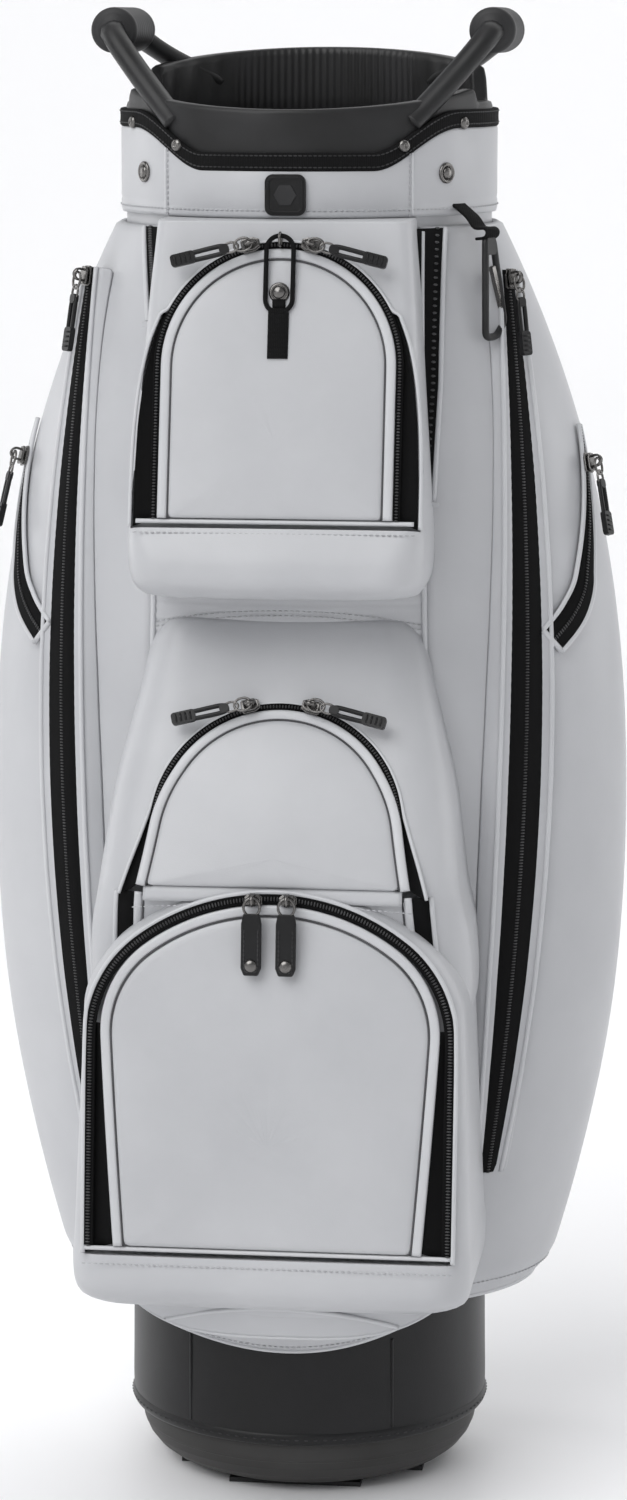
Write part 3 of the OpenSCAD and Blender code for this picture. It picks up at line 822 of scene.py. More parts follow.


# below the panel the same binding, painted seam shadow and gusset run on down, behind the lower pocket
LEG = 56.0
foot_z = apply(MIDDLE.m, (0, 0, 0))[2]
z = np.linspace(foot_z - 2, foot_z - LEG, 24)
run = (foot_z - z) / LEG
for s in (-1, 1):
    rows = np.array([middle_front(s * x, z, 0.5) for x in (84 + 4 * run, 89 + 4 * run, 94.5 + 4 * run)])
    done(sheet(f"middle_leg_{s + 1}", rows, TAPE, thickness=0.5, offset=0), "bag", "black_fabric")
    # the seam entry is painted shade: a thin dark line for the shadow in the crease
    for name, x, lift, shape, material in (("binding", 82, 0.8, oval(5.0, 3.0), PALE_ROLL_PAINTED_HIGHLIGHT),
                                           ("seam", 78.6, 0.3, oval(1.2, 1.6), PAINTED_SEAM_SHADOW),
                                           ("mouth", 96, 0.6, oval(3.0, 3.0), PALE_ROLL_PAINTED_HIGHLIGHT)):
        path = middle_front(s * (x + 4 * run), z, lift)
        done(sweep(f"middle_leg_{name}_{s + 1}", path, (0, -1, 0), shape, material), "bag", "leather")
x = np.linspace(-79, 79, 60)
fold = np.array([apply(MIDDLE.m, np.column_stack([x, y + 0 * x, h + 0 * x])) for y, h in
                 ((-7, -0.2), (-4, 0.3), (-1, 0.5), (1.5, 0.4), (3, -0.4))])
done(sheet("middle_fold", fold, PALE, thickness=0.8, offset=0), "bag", "leather")

# lower pocket
lower_side = [(113.2, -3), (113.3, 40), (113.4, 80), (113.4, 115), (113.0, 138)]
shoulder = LOWER.arch(13.0, 2.0)
shoulder = shoulder[shoulder[:, 0] > 0]
levels = []
for y in (212, 209, 203, 192, 175, 155):
    wide = np.interp(y, shoulder[:, 1], shoulder[:, 0])
    point = LOWER.lift(np.array([[wide, y]]), 0.0)[0]
    levels.append((point[2], wide, point[1], 14))
levels += [(320, 117.5, -197.8, 20), (250, 120, -206, 20), (200, 121.5, -211.8, 20), (188, 122.5, -214.5, 22),
           (178, 122.5, -216.5, 24), (168, 122, -216, 26), (160, 120.5, -212, 28), (155, 117, -205, 30),
           (152.5, 110, -197, 30)]
pocket_shell("lower", LOWER, levels, mouth_line(LOWER, 7.6, 142, lower_side), ["lower_pocket"])
dressed_panel("lower", LOWER, "lower_flap", 4.2, 3.9, 6.6, spread=-12, spread_y=190)
mouth_roll("lower", LOWER, 8.0, 142, lower_side, 3.0)
wedge("lower_gusset", LOWER, [(94.4, 3), (97, 45), (100, 90), (104, 138)],
      lower_side, 2.4)
for p, name, grow, width in ((UPPER, "upper", 2.4, 2.2), (MIDDLE, "middle", 2.4, 2.2),
                             (LOWER, "lower", 4.0, 3.0)):
    coil(name + "_coil", p.lift(p.arch(grow, 2.0), 1.9), p.out(), "bag", width)


# ---------------------------------------------------------------- side pockets and their zips

def zip_frame(path, theta):
    """Placement on a side zip's arc: [middle, turn about Z, lean about X, radius, tilt]."""
    middle, about_z, about_x, radius, tilt = path
    return (move(*middle) @ turn(about_z, "Z") @ turn(about_x, "X") @ move(-radius, 0, 0)
            @ turn(90, "X") @ turn(theta, "Z") @ move(radius, 0, 0) @ turn(tilt, "Y"))


SIDE_PATH = [(141.8, -85.6, 459), -39, -2.6, 1642, 87]
OUTER_PATH = [(178.1, -41, 604), 0, -18.7, 310, 60.5]


def front_edge(z):
    """Where the side pocket starts beside the front pockets, in degrees from the front."""
    seam = np.interp(z, [130, 395, 410, 806], [108, 104, 87, 80])
    return np.degrees(np.arcsin(np.clip(seam / half_width(z), 0, 0.97)))


HEM = HEM_Z + 5.0


def tuck(z):
    """How far the bottom of the side pocket turns in."""
    return 9.0 * np.clip((HEM + 22 - np.asarray(z, float)) / 22, 0, 1.1) ** 2


def back_edge(z):
    """Where the side pocket ends beside the back panel, in degrees from the front."""
    return 180 - np.degrees(np.arcsin(36.8 / half_width(z)))


def side_shell(side):
    s = SIDES[side]
    heights = np.concatenate([[HEM - 1.5, HEM], np.linspace(HEM + 3, HEM + 30, 12),
                              np.linspace(HEM + 36, TOP_Z - 6, 104), [TOP_Z - 2, TOP_Z]])
    rows = []
    for z in heights:
        t0, t1 = front_edge(z), back_edge(z)
        t = np.linspace(t0, t1, 64)
        lift = 0.8 * math.sin(z / 47.0) * np.exp(-((t - 150) / 18) ** 2)
        lift = lift + 0.7 * np.exp(-((z - 300) / 60) ** 2) * np.sin(np.radians(t * 5))
        curl = -4.0 if z < HEM else (-2.5 if z >= TOP_Z - 1 else 0.0)
        curl -= tuck(z)
        rows.append(on_side(t, z, lift + curl))
    points = np.array(rows) * [s, 1, 1]
    shell = sheet(f"side_shell_{side}", points, PALE, thickness=3.0)
    if s < 0:
        flip(shell)
    done(shell, "bag", "leather", f"side_pocket_{side}")
    for name, line in (("front", front_edge), ("back", back_edge)):
        z = np.linspace(HEM, TOP_Z - 3, 150)
        path = on_side(line(z), z, 0.3 - tuck(z)) * [s, 1, 1]
        out = on_side(line(z), z, 10) * [s, 1, 1] - path
        piping(f"side_piping_{name}_{side}", path, out, 3.4)
    t = np.linspace(front_edge(HEM), back_edge(HEM), 60)
    hem = on_side(t, HEM + 1, -0.6 - tuck(HEM)) * [s, 1, 1]
    piping(f"side_hem_{side}", hem, (0, 0, -1), 5.0, 4.0)
    tube = round_axis(SKIN_R + 0.4, np.radians(t), HEM + 5) * [s, 1, 1]
    k = np.linspace(0, 1, 8)[:, None, None]
    under = (1 - k) * hem[None] + k * tube[None] - np.array([0, 0, 3.0]) * np.sin(np.pi * k)
    done(sheet(f"side_under_{side}", under, PALE, thickness=1.0, offset=0), "bag", "leather")
    arc = on_side(t, HEM + 11, 0.1 - tuck(HEM + 11)) * [s, 1, 1]
    sewn(f"side_hem_thread_{side}", arc, arc * [1, 1, 0])


def side_zip(side, name, path, start, end, widths, nodes=()):
    """A raised zip welt: pale cloth rising off the leather, black tape on top, teeth along it."""
    s = SIDES[side]
    thetas = np.linspace(start, end, 90)
    width = np.interp(np.linspace(0, 1, 90), np.linspace(0, 1, len(widths)), widths)
    frames = [zip_frame(path, a) for a in thetas]
    out = np.array([f[:3, 2] for f in frames])
    across = np.array([f[:3, 0] for f in frames])
    mid = np.array([apply(f, (0, 0, 4.9)) for f in frames])
    z = mid[:, 2]
    w = half_width(z)
    skin = unit(np.stack([mid[:, 0] / w ** 2, mid[:, 1] / HALF_DEPTH ** 2, 0 * z], -1))
    out = unit(0.42 * out + 0.58 * skin)
    across = unit(across - (across * out).sum(-1, keepdims=True) * out)
    rows = []
    for k, wide in ((-1, 6.5), (-1, 2.0), (-1, 0), (1, 0), (1, 2.0), (1, 6.5)):
        edge = mid + across * (k * (width / 2 + wide))[:, None]
        if wide == 6.5:
            angle = np.degrees(np.arctan2(edge[:, 0] / half_width(z), -edge[:, 1] / HALF_DEPTH))
            edge = on_side(angle, z, 0.0)
        elif wide == 0:
            edge = edge - out * 1.0
        rows.append(edge)
    rows = np.array(rows) * [s, 1, 1]
    out, across, mid = out * [s, 1, 1], across * [s, 1, 1], mid * [s, 1, 1]
    welt = sheet(f"{name}_welt_{side}", rows.transpose(1, 0, 2), PALE, thickness=0.8,
                 subdivide=1, offset=0)
    done(welt, "bag", "leather", *nodes)
    tape = sheet(f"{name}_tape_{side}", np.array([rows[2] - across * 1.2, mid - out * 0.2,
                                                 rows[3] + across * 1.2]).transpose(1, 0, 2),
                 TAPE, thickness=0.6, offset=0)
    done(tape, "bag", "black_fabric")
    for k, edge in (("a", rows[1]), ("b", rows[4])):
        piping(f"{name}_roll_{k}_{side}", edge, out, 3.2, 3.0)
    coil(f"{name}_coil_{side}", mid, out, "bag", width=3.0)


def surface_band(name, side, line, widths, lift=0.7):
    """A zip lying on the side pocket along (angle, height) points: tape, teeth and two rolls."""
    s = SIDES[side]
    line = smooth_curve(line, 70)
    mid = on_side(line[:, 0], line[:, 1], lift)
    out = unit(on_side(line[:, 0], line[:, 1], lift + 10) - mid)
    across = np.cross(out, unit(np.gradient(mid, axis=0)))
    width = np.interp(np.linspace(0, 1, 70), np.linspace(0, 1, len(widths)), widths)
    edges = []
    for k in (-1, 0, 1):
        p = mid + across * (k * width / 2)[:, None]
        angle = np.degrees(np.arctan2(p[:, 0] / half_width(p[:, 2]), -p[:, 1] / HALF_DEPTH))
        edges.append(on_side(angle, p[:, 2], lift))
    flip_x = np.array([s, 1, 1])
    edges, out = np.array(edges) * flip_x, out * flip_x
    done(sheet(f"{name}_tape_{side}", edges.transpose(1, 0, 2), TAPE, thickness=0.8, offset=0), "bag",
         "black_fabric")
    for k, edge in (("a", edges[0]), ("b", edges[2])):
        piping(f"{name}_roll_{k}_{side}", edge, out, 3.0)
    last = int(np.argmin(edges[1][:, 2]))
    piping(f"{name}_end_{side}", edges[:, last], out[last], 3.6, 3.2)
    coil(f"{name}_coil_{side}", edges[1] + out * 0.8, out, "bag", width=3.2)


def outer_zip(side):
    """The short outer zip: its slider's arc, then a wider open end turning to the front."""
    line = []
    for theta in (15, 9, 3, -1.5, -4.6):
        p = zip_frame(OUTER_PATH, theta)[:3, 3]
        line.append((math.degrees(math.atan2(p[0] / half_width(p[2]), -p[1] / HALF_DEPTH)), p[2]))
    angle, height = line[-1]
    line += [(angle - 5, height - 15), (angle - 12, height - 30)]
    surface_band("outer_zip", side, line, [3, 9, 14, 18, 20, 19], lift=2.6)


for side in SIDES:
    side_shell(side)
    side_zip(side, "side_zip", SIDE_PATH, -8.6, 11.2, [15, 24, 30, 33, 34, 33, 30, 26, 20, 12],
             [f"side_zips_{side}"])
    outer_zip(side)


# ---------------------------------------------------------------- base

FOOT = box("base_feet")[1][2]
WELT_HIGH = box("base_welt")[1]
CUP_R = box("base_cup")[1][0]
cup = [(70, FOOT), (79, FOOT), (88, 4.6), (95, 8.5), (101, 14), (106, 21.5), (109, 29), (CUP_R, 36),
       (CUP_R, WELT_HIGH[2])]
cup = smooth_curve([(0, FOOT), (40, FOOT)] + cup, 80)
done(lathe("cup_shell", cup, CUP_PLASTIC, squareness=2.0, turns=180), "bag", "black_plastic")
for k, z in enumerate((12.5, 24.5)):
    a = np.linspace(0, 2 * np.pi, 180, endpoint=False)
    r = np.interp(z, cup[:, 1], cup[:, 0]) + 0.2
    ring = np.stack([r * np.cos(a), r * np.sin(a), np.full(180, z)], -1)
    done(sweep(f"cup_ridge_{k}", ring, ring * [1, 1, 0], oval(1.6, 1.6), CUP_PLASTIC, closed=True),
         "bag", "black_plastic")


a = np.linspace(0, 2 * np.pi, 240, endpoint=False)
welt_r = WELT_HIGH[0] - 2.6
ring = round_axis(welt_r, a, WELT_HIGH[2] - 3.5)
done(sweep("welt_roll", ring, ring * [1, 1, 0], oval(9.0, 5.2, 0, 14), DARK_LEATHER, closed=True),
     "bag", "black_leather", "base_welt")
ring = ring + unit(ring * [1, 1, 0]) * 2.5
done(stitches("welt_thread", ring, ring * [1, 1, 0], DARK_THREAD, pitch=6.0), "bag", "black_leather")
SLEEVE_TOP = box("base_sleeve")[1][2]
sleeve = [(SKIN_R - 1.2, WELT_HIGH[2] - 2), (SKIN_R + 0.6, WELT_HIGH[2] + 3), (SKIN_R + 0.4, 80),
          (SKIN_R, 130), (SKIN_R - 0.2, SLEEVE_TOP)]
done(lathe("sleeve_skin", smooth_curve(sleeve, 60), DARK_LEATHER, turns=180), "bag",
     "black_leather", "base_sleeve")
for k, angle in enumerate((-34, 34)):
    path = round_axis(SKIN_R + 0.6, math.radians(angle), np.linspace(WELT_HIGH[2] + 1, 105, 40))
    done(sweep(f"sleeve_seam_{k}", path, path * [1, 1, 0], oval(1.6, 1.4), DARK_LEATHER), "bag",
         "black_leather")

# the lens-shaped panel under the lower pocket
x = np.linspace(-1, 1, 70)
bow = 1 - x ** 2
rows = []
for k in np.linspace(0, 1, 12):
    swell = 5.0 * math.sin(math.pi * k) * bow
    rows.append(np.stack([5 + 72 * x, -202 + 20 * x ** 2 + 40 * k * bow - swell,
                          139 + 15 * bow - (34 * k + 5 * k * k) * bow], -1))
done(flip(sheet("underside_lens", np.array(rows), PALE, thickness=1.6)), "bag", "leather")
for k, row in ((0, rows[0]), (1, rows[-1])):
    piping(f"underside_roll_{k}", row, (0, -1, -0.4), 2.8)
sewn("underside_thread", rows[-2] + [0, -1.0, 0.5], (0, -1, -0.6))

# the throat: leather that runs from the band in to the lens
k = np.linspace(0, 1, 10)[:, None]
side = np.abs(x)[None]
throat = np.stack([5 * k + (101 - 3 * k) * x[None], -200 + 8 * k + (30 - 6 * k) * side ** 2.5,
                   158 - k * (7 + 18 * (1 - side ** 4))], -1)
done(sheet("throat", throat, PALE, thickness=1.4, offset=0), "bag", "leather")
piping("throat_roll", throat[-1], (0, -1, -0.3), 2.2)

# the body between the upper and middle pockets
z = np.linspace(552, 612, 24)
rows = np.array([on_side(np.linspace(-1, 1, 50) * front_edge(h), h, 0.6 * math.sin(h)) for h in z])
done(sheet("front_body", rows, PALE, thickness=2.0), "bag", "leather")
for n, (side_z, mid_z) in enumerate(((563, 572.5), (560, 569.5))):
    t = np.linspace(-1, 1, 90) * front_edge(565)
    k = 1 - np.linspace(-1, 1, 90) ** 2
    path = on_side(t, side_z + (mid_z - side_z) * k, 0.2)
    sewn(f"front_body_thread_{n}", path, path * [1, 1, 0])


# ---------------------------------------------------------------- collar, cuff and handles

RIM_FRONT, RIM_BACK = 877.0, 913.0
COLLAR_LOW = box("collar")[0][2]
COLLAR_IN = 104.0


def rim(angle):
    """Height of the collar's rim, with a dip under each handle."""
    x, y = np.sin(angle), -np.cos(angle)
    height = (RIM_FRONT + RIM_BACK) / 2 + (RIM_BACK - RIM_FRONT) / 2 * y
    dip = 1 / (1 + np.exp((np.abs(y * 115) - 37) * 0.9))
    return height * (1 - dip) + np.minimum(height, 880.3) * dip


a = np.linspace(0, 2 * np.pi, 1440, endpoint=False)
top = rim(a)
facet = 0.9 * np.cos(a * 8) * np.exp(-(np.sin(a) / 0.75) ** 4)
# inside the rim: fine flutes across the back wall, broad ones at the sides
fine = 0.8 * (0.5 + 0.5 * np.cos(a * 144)) / (1 + np.exp((np.abs(np.sin(a)) - 0.55) * 60)) * (np.cos(a) < 0)
broad = 0.9 * (0.5 + 0.5 * np.cos(a * 36)) / (1 + np.exp((0.6 - np.abs(np.sin(a))) * 60))
flute = fine + broad
rows = []
for r, z in ((SKIN_R - 0.2, 0.0), (SKIN_R - 0.1, 0.35), (SKIN_R - 0.1, 0.75), (SKIN_R - 0.1, 0.93),
             (SKIN_R - 0.9, 0.985), (SKIN_R - 2.4, 1.0), (COLLAR_IN + 3.0, 1.0), (COLLAR_IN + 1.2, 0.985),
             (COLLAR_IN + 0.3, 0.93), (COLLAR_IN + 0.3, 0.6), (COLLAR_IN + 0.3, 0.0)):
    outer = r > 108
    radius = r + (facet if outer else flute * (0.3 < z < 0.95)) * (0.0 if outer and z < 0.3 else 1.0)
    radius = np.minimum(radius, SKIN_R + 0.2) if outer else radius
    rows.append(round_axis(radius, a, COLLAR_LOW + (top - COLLAR_LOW) * z))
rows.append(rows[0])
done(sheet("collar_ring", np.array(rows), PLASTIC, wrap=True), "bag", "black_plastic", "collar")

CUFF_R = CUFF_HIGH[0]


def wave(angle, low=841.0, high=866.0):
    """Height of the cuff's top edge: low at the front and back, high at the sides."""
    x = np.abs((CUFF_R - 1) * np.sin(angle))
    k = np.clip((x - 52) / 48, 0, 1)
    return low + (high - low) * k * k * (3 - 2 * k)


a = np.linspace(0, 2 * np.pi, 288, endpoint=False)
top = wave(a)
rows = []
for r, z in ((CUFF_R - 2.8, 0.03), (CUFF_R - 2.4, 0.0), (CUFF_R - 0.6, 0.004), (CUFF_R, 0.05),
             (CUFF_R + 0.1, 0.13), (CUFF_R - 0.35, 0.16), (CUFF_R + 0.05, 0.2), (CUFF_R, 0.5),
             (CUFF_R, 0.95), (CUFF_R - 0.8, 1.0), (CUFF_R - 2.8, 1.0)):
    rows.append(round_axis(r, a, CUFF_LOW[2] + (top - CUFF_LOW[2]) * z))
done(sheet("cuff_skin", np.array(rows), PALE, wrap=True), "bag", "leather", "cuff")
ring = round_axis(CUFF_R + 0.1, a, CUFF_LOW[2] + 4.5)
ring = np.vstack([ring, ring[:1]])
sewn("cuff_thread", ring, ring * [1, 1, 0], pitch=3.4)
for k, degrees in enumerate((-41, -40, 38, 39, 140, -140)):
    angle = math.radians(degrees)
    path = round_axis(CUFF_R, angle, np.linspace(CUFF_LOW[2] + 1, float(wave(angle)) - 1, 24))
    if k in (0, 3, 4, 5):
        piping(f"cuff_lap_{k}", path, path * [1, 1, 0], 1.8, 1.5)
    else:
        sewn(f"cuff_lap_{k}", path, path * [1, 1, 0], pitch=3.2)
rows = []
for r, z in ((CUFF_R - 2.8, -0.6), (CUFF_R - 0.2, -1.0), (CUFF_R + 0.65, 0.0), (CUFF_R + 0.65, 1.2),
             (CUFF_R + 0.5, 5.0), (CUFF_R + 0.65, 8.6), (CUFF_R + 0.4, 9.8), (CUFF_R - 0.8, 10.2),
             (CUFF_R - 2.8, 10.0)):
    rows.append(round_axis(r, a, top + z))
done(sheet("cuff_webbing", np.array(rows), WEBBING, wrap=True), "bag", "black_fabric", "cuff_binding")
for k, z in enumerate((1.4, 8.4)):
    ring = round_axis(CUFF_R + 0.6, a, top + z)
    ring = np.vstack([ring, ring[:1]])
    done(stitches(f"webbing_thread_{k}", ring, ring * [1, 1, 0], DARK_THREAD, pitch=3.0, lift=0.1), "bag",
         "black_fabric")


def around(angle, r, z):
    """Placement on the round bag, angle in degrees: local +Z points outward, +Y up."""
    return turn(angle, "Z") @ move(0, -r, z) @ turn(90, "X")


def dome(name, m, profile, material, body, slot, turns=40):
    """A small turned part: (r, height) outline about the placement's Z."""
    angles = np.linspace(0, 2 * np.pi, turns, endpoint=False)
    profile = np.asarray(profile, float)
    points = np.stack([profile[:, 0][:, None] * np.cos(angles),
                       profile[:, 0][:, None] * np.sin(angles),
                       np.broadcast_to(profile[:, 1][:, None], (len(profile), turns))], -1)
    obj = sheet(name, apply(m, points.reshape(-1, 3)).reshape(points.shape), material, wrap=True)
    return done(obj, body, slot)


screw_outline = [(3.9, 0), (3.9, 0.7), (3.2, 1.6), (1.9, 2.3), (1.1, 2.45), (1.0, 1.7), (0.01, 1.7)]
parts = []
for angle in (36, 60, 120, 144):
    for s in (-1, 1):
        z = 855 if angle in (36, 144) else 868
        m_screw = around(s * angle, CUFF_R + 0.3, z)
        parts.append(dome(f"screw_{angle}_{s + 1}", m_screw, screw_outline, GUNMETAL, "bag", "gunmetal"))
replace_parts(parts[0], "collar_screws")
parts = []
for angle in (52, 128):
    for s in (-1, 1):
        m_stud = around(s * angle, CUFF_R, 838)
        parts.append(dome(f"stud_ring_{angle}_{s + 1}", m_stud,
                          [(6.4, 0), (6.4, 0.9), (5.7, 1.7), (4.7, 1.5), (3.8, 0.3)], GUNMETAL,
                          "bag", "gunmetal"))
        parts.append(dome(f"stud_cap_{angle}_{s + 1}", m_stud,
                          [(3.7, 0.2), (3.5, 1.4), (2.8, 2.1), (1.6, 2.4), (0.01, 2.5)], GUNMETAL,
                          "bag", "gunmetal"))
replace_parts(parts[0], "cuff_studs")


def rounded(w, h, r, steps=6):
    """Outline of a rounded rectangle."""
    out = []
    for k, (x, y) in enumerate(((w / 2 - r, h / 2 - r), (r - w / 2, h / 2 - r),
                                (r - w / 2, r - h / 2), (w / 2 - r, r - h / 2))):
        for b in np.radians(np.linspace(90 * k, 90 * k + 90, steps)):
            out.append((x + r * math.cos(b), y + r * math.sin(b)))
    return out


def lay(name, outline, thickness, m, material, body, slot, holes=(), edge=0.4):
    """A rounded plate lying on a placement's XY plane."""
    obj = plate(name, outline, thickness, material, holes)
    place(obj, m @ move(0, 0, thickness / 2))
    bevel(obj, edge, 2, 50)
    obj.data.polygons.foreach_set("use_smooth", [False] * len(obj.data.polygons))
    return done(obj, body, slot)


m_badge = around(0, CUFF_R + 0.1, 826)
lay("badge_pad", rounded(25, 25, 5), 2.0, m_badge, PULL, "bag", "pull_rubber")
badge = lay("badge_rim", rounded(22, 22, 4), 0.7, m_badge @ move(0, 0, 2.0), PULL, "bag",
            "pull_rubber", holes=[rounded(19.4, 19.4, 3)])
lay("badge_boss", [(7 * math.cos(b), 7 * math.sin(b)) for b in np.linspace(0, 2 * np.pi, 7)[:-1]],
    0.8, m_badge @ move(0, 0, 2.0), RUBBER, "bag", "pull_rubber", edge=0.3)
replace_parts(badge, "badge")

GRIP_LOW, GRIP_HIGH = box("grip_right")
GRIP_X, GRIP_Z = (GRIP_LOW[0] + GRIP_HIGH[0]) / 2, (GRIP_LOW[2] + GRIP_HIGH[2]) / 2
GRIP_R, GRIP_L = (GRIP_HIGH[0] - GRIP_LOW[0]) / 2, GRIP_HIGH[1] - GRIP_LOW[1]
for side, s in SIDES.items():
    bar = smooth_curve([(72, -86, 868), (80, -78, 877), (99, -63, 899), (GRIP_X - 3, -50, 919),
                        (GRIP_X, -38, GRIP_Z), (GRIP_X, 0, GRIP_Z), (GRIP_X, 38, GRIP_Z),
                        (GRIP_X - 3, 50, 919), (99, 63, 907), (80, 78, 896), (72, 86, 890)], 120)
    size = np.interp(np.arange(120), [0, 12, 34, 60, 86, 108, 119], [0.9, 0.92, 0.9, 0.9, 0.9, 0.92, 0.9])
    handle = sweep(f"handle_bar_{side}", bar * [s, 1, 1], (0.25 * s, 0, 1), strap_profile(17, 13.5), PLASTIC,
                   scale=size)
    done(handle, "bag", "black_plastic", f"handle_{side}")
    y = np.linspace(-GRIP_L / 2, GRIP_L / 2, 110)
    rib = 1 - 0.028 * (0.5 + 0.5 * np.cos(y / 7.2 * 2 * np.pi)) * (np.abs(y) < 30)
    ends = np.sqrt(np.clip(1 - ((np.abs(y) - (GRIP_L / 2 - 6)).clip(0) / 6.2) ** 4, 0.45, 1))
    path = np.stack([s * (GRIP_X + 0 * y), y, GRIP_Z + 0 * y], -1)
    grip = sweep(f"grip_sleeve_{side}", path, (0, 0, 1), oval(2 * GRIP_R, 2 * GRIP_R - 0.6, 0, 36), RUBBER,
                 scale=rib * ends)
    done(grip, "bag", "grip_rubber", f"grip_{side}")


# ---------------------------------------------------------------- sliders and pulls

def ring_path(rx, ry, steps=36):
    """The line of an oval ring."""
    b = np.linspace(0, 2 * np.pi, steps, endpoint=False)
    return np.stack([rx * np.cos(b), ry * np.sin(b), 0 * b], -1)


def loop(name, path, m, profile, material, body, slot, normal=(0, 0, 1)):
    """A closed ring swept along a path."""
    obj = sweep(name, apply(m, path), m[:3, :3] @ np.array(normal, float), profile, material, closed=True)
    return done(obj, body, slot)


def slider(name, m, body, wide=9.0, long=12.5):
    """A zip slider: a nosed plate, a raised top, a post between them and a bail."""
    nose = [(-wide / 2, -long / 2 + 1), (-wide / 2 + 1, -long / 2), (wide / 2 - 1, -long / 2),
            (wide / 2, -long / 2 + 1), (wide / 2, long * 0.2), (wide * 0.3, long / 2),
            (-wide * 0.3, long / 2), (-wide / 2, long * 0.2)]
    first = lay(name, nose, 1.5, m, GUNMETAL, body, "gunmetal")
    lay(name + "_top", [(x * 0.86, y * 0.9) for x, y in nose], 1.6, m @ move(0, 0, 2.4), GUNMETAL,
        body, "gunmetal", edge=0.6)
    lay(name + "_post", rounded(2.4, long * 0.5, 1), 1.2, m @ move(0, 0, 1.4), GUNMETAL, body, "gunmetal")
    bail = [(0, -3.4, 3.6), (0, -3.3, 7.4), (0, -2.0, 9.4), (0, 0, 10.2), (0, 2.0, 9.4), (0, 3.3, 7.4),
            (0, 3.4, 3.6)]
    obj = sweep(name + "_bail", apply(m, smooth_curve(bail, 28)), m[:3, :3] @ np.array([1.0, 0, 0]),
                strap_profile(1.5, 2.6), GUNMETAL)
    done(obj, body, "gunmetal")
    return first


def pull(name, m, body, length=50.0, bail=7.8):
    """Ring, flat link and a moulded two-strand rubber pull with a squared end."""
    m = m @ move(0, 0, bail)
    first = loop(name, ring_path(4.0, 5.2) + [0, -4.0, 0], m, oval(1.6, 1.6, 0, 8), GUNMETAL,
                 body, "gunmetal")
    loop(name + "_link", ring_path(3.0, 4.6) + [0, -11.5, 0], m, oval(1.5, 1.5, 0, 8), GUNMETAL,
         body, "gunmetal")
    for k in (-1, 1):
        strand = smooth_curve([(0.9 * k, -13.4, 0), (2.2 * k, -17, 0), (2.4 * k, -25, 0),
                               (2.1 * k, 8 - length, 0)], 26)
        obj = sweep(f"{name}_strand_{k + 1}", apply(m, strand), m[:3, 2], oval(3.0, 2.8, 0, 10), PULL)
        done(obj, body, "pull_rubber")
    lay(name + "_head", rounded(5.6, 6, 2.2), 3.2, m @ move(0, -15.5, -1.6), PULL, body,
        "pull_rubber", edge=0.9)
    lay(name + "_end", rounded(7.6, 15, 2.0), 3.6, m @ move(0, 9 - length, -1.8), PULL, body,
        "pull_rubber", edge=1.1)
    for k in range(4):
        bar = apply(m, [(-2.4, 4.5 - length + 3.0 * k, 1.9), (2.4, 4.5 - length + 3.0 * k, 1.9)])
        obj = sweep(f"{name}_rib_{k}", bar, m[:3, 2], oval(1.2, 1.0, 0, 8), PULL)
        done(obj, body, "pull_rubber")
    return first


def tab(name, m, body, bail=7.8):
    """A leather tab with a rivet and stitches, hanging from a metal ring."""
    m = m @ move(0, 0, bail)
    first = loop(name, ring_path(5.0, 5.4) + [0, -4.2, 0], m, oval(1.7, 1.7, 0, 8), GUNMETAL,
                 body, "gunmetal")
    outline = [(-6.2, -14), (-6.2, -41), (-4.4, -45.5), (4.4, -45.5), (6.2, -41), (6.2, -14), (5.0, -8),
               (-5.0, -8)]
    lay(name + "_leather", outline, 2.8, m @ move(0, 0, -1.4), DARK_LEATHER, body, "pull_rubber", edge=0.9)
    dome(name + "_rivet", m @ move(0, -39.5, 1.3),
         [(4.0, 0), (3.9, 0.8), (3.0, 1.6), (1.4, 2.1), (0.01, 2.2)], GUNMETAL, body, "gunmetal")
    edge = apply(m, [(-4.2, -19, 1.5), (-4.2, -40, 1.5), (-3.4, -43, 1.5), (3.4, -43, 1.5), (4.2, -40, 1.5),
                     (4.2, -19, 1.5)])
    done(stitches(name + "_thread", edge, m[:3, 2], DARK_THREAD, pitch=2.8, lift=0.1), body, "pull_rubber")
    return first


REST_ANGLE, REST_LOWER = 14.0, 4.5
for side, s in SIDES.items():
    hand = MIRROR if s > 0 else np.eye(4)
    for word, p in (("upper", UPPER), ("middle", MIDDLE)):
        base = hand @ p.on_arch(REST_ANGLE) @ turn(-90, "Z")
        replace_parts(slider(f"{word}_zip_slider_{side}", base, f"{word}_slider_{side}", 8.6, 11.5),
                    f"{word}_slider_{side}")
        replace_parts(pull(f"{word}_zip_pull_{side}", base, f"{word}_pull_{side}"), f"{word}_pull_{side}")
    base = hand @ LOWER.on_arch(REST_LOWER) @ turn(-REST_LOWER, "Z")
    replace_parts(slider(f"lower_zip_slider_{side}", base, f"lower_slider_{side}", 11, 6.5),
                f"lower_slider_{side}")
    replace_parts(tab(f"lower_zip_pull_{side}", base, f"lower_pull_{side}"), f"lower_pull_{side}")
    hand = MIRROR if s < 0 else np.eye(4)
    for word, path, top_angle in (("side", SIDE_PATH, 11), ("outer", OUTER_PATH, 10)):
        base = hand @ zip_frame(path, top_angle) @ move(0, 0, 5.9)
        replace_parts(slider(f"{word}_zip_slider_{side}", base, f"{word}_slider_{side}"),
                    f"{word}_slider_{side}")
        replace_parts(pull(f"{word}_zip_pull_{side}", base, f"{word}_pull_{side}"), f"{word}_pull_{side}")


# ---------------------------------------------------------------- loop, webbing tab and hanging hook

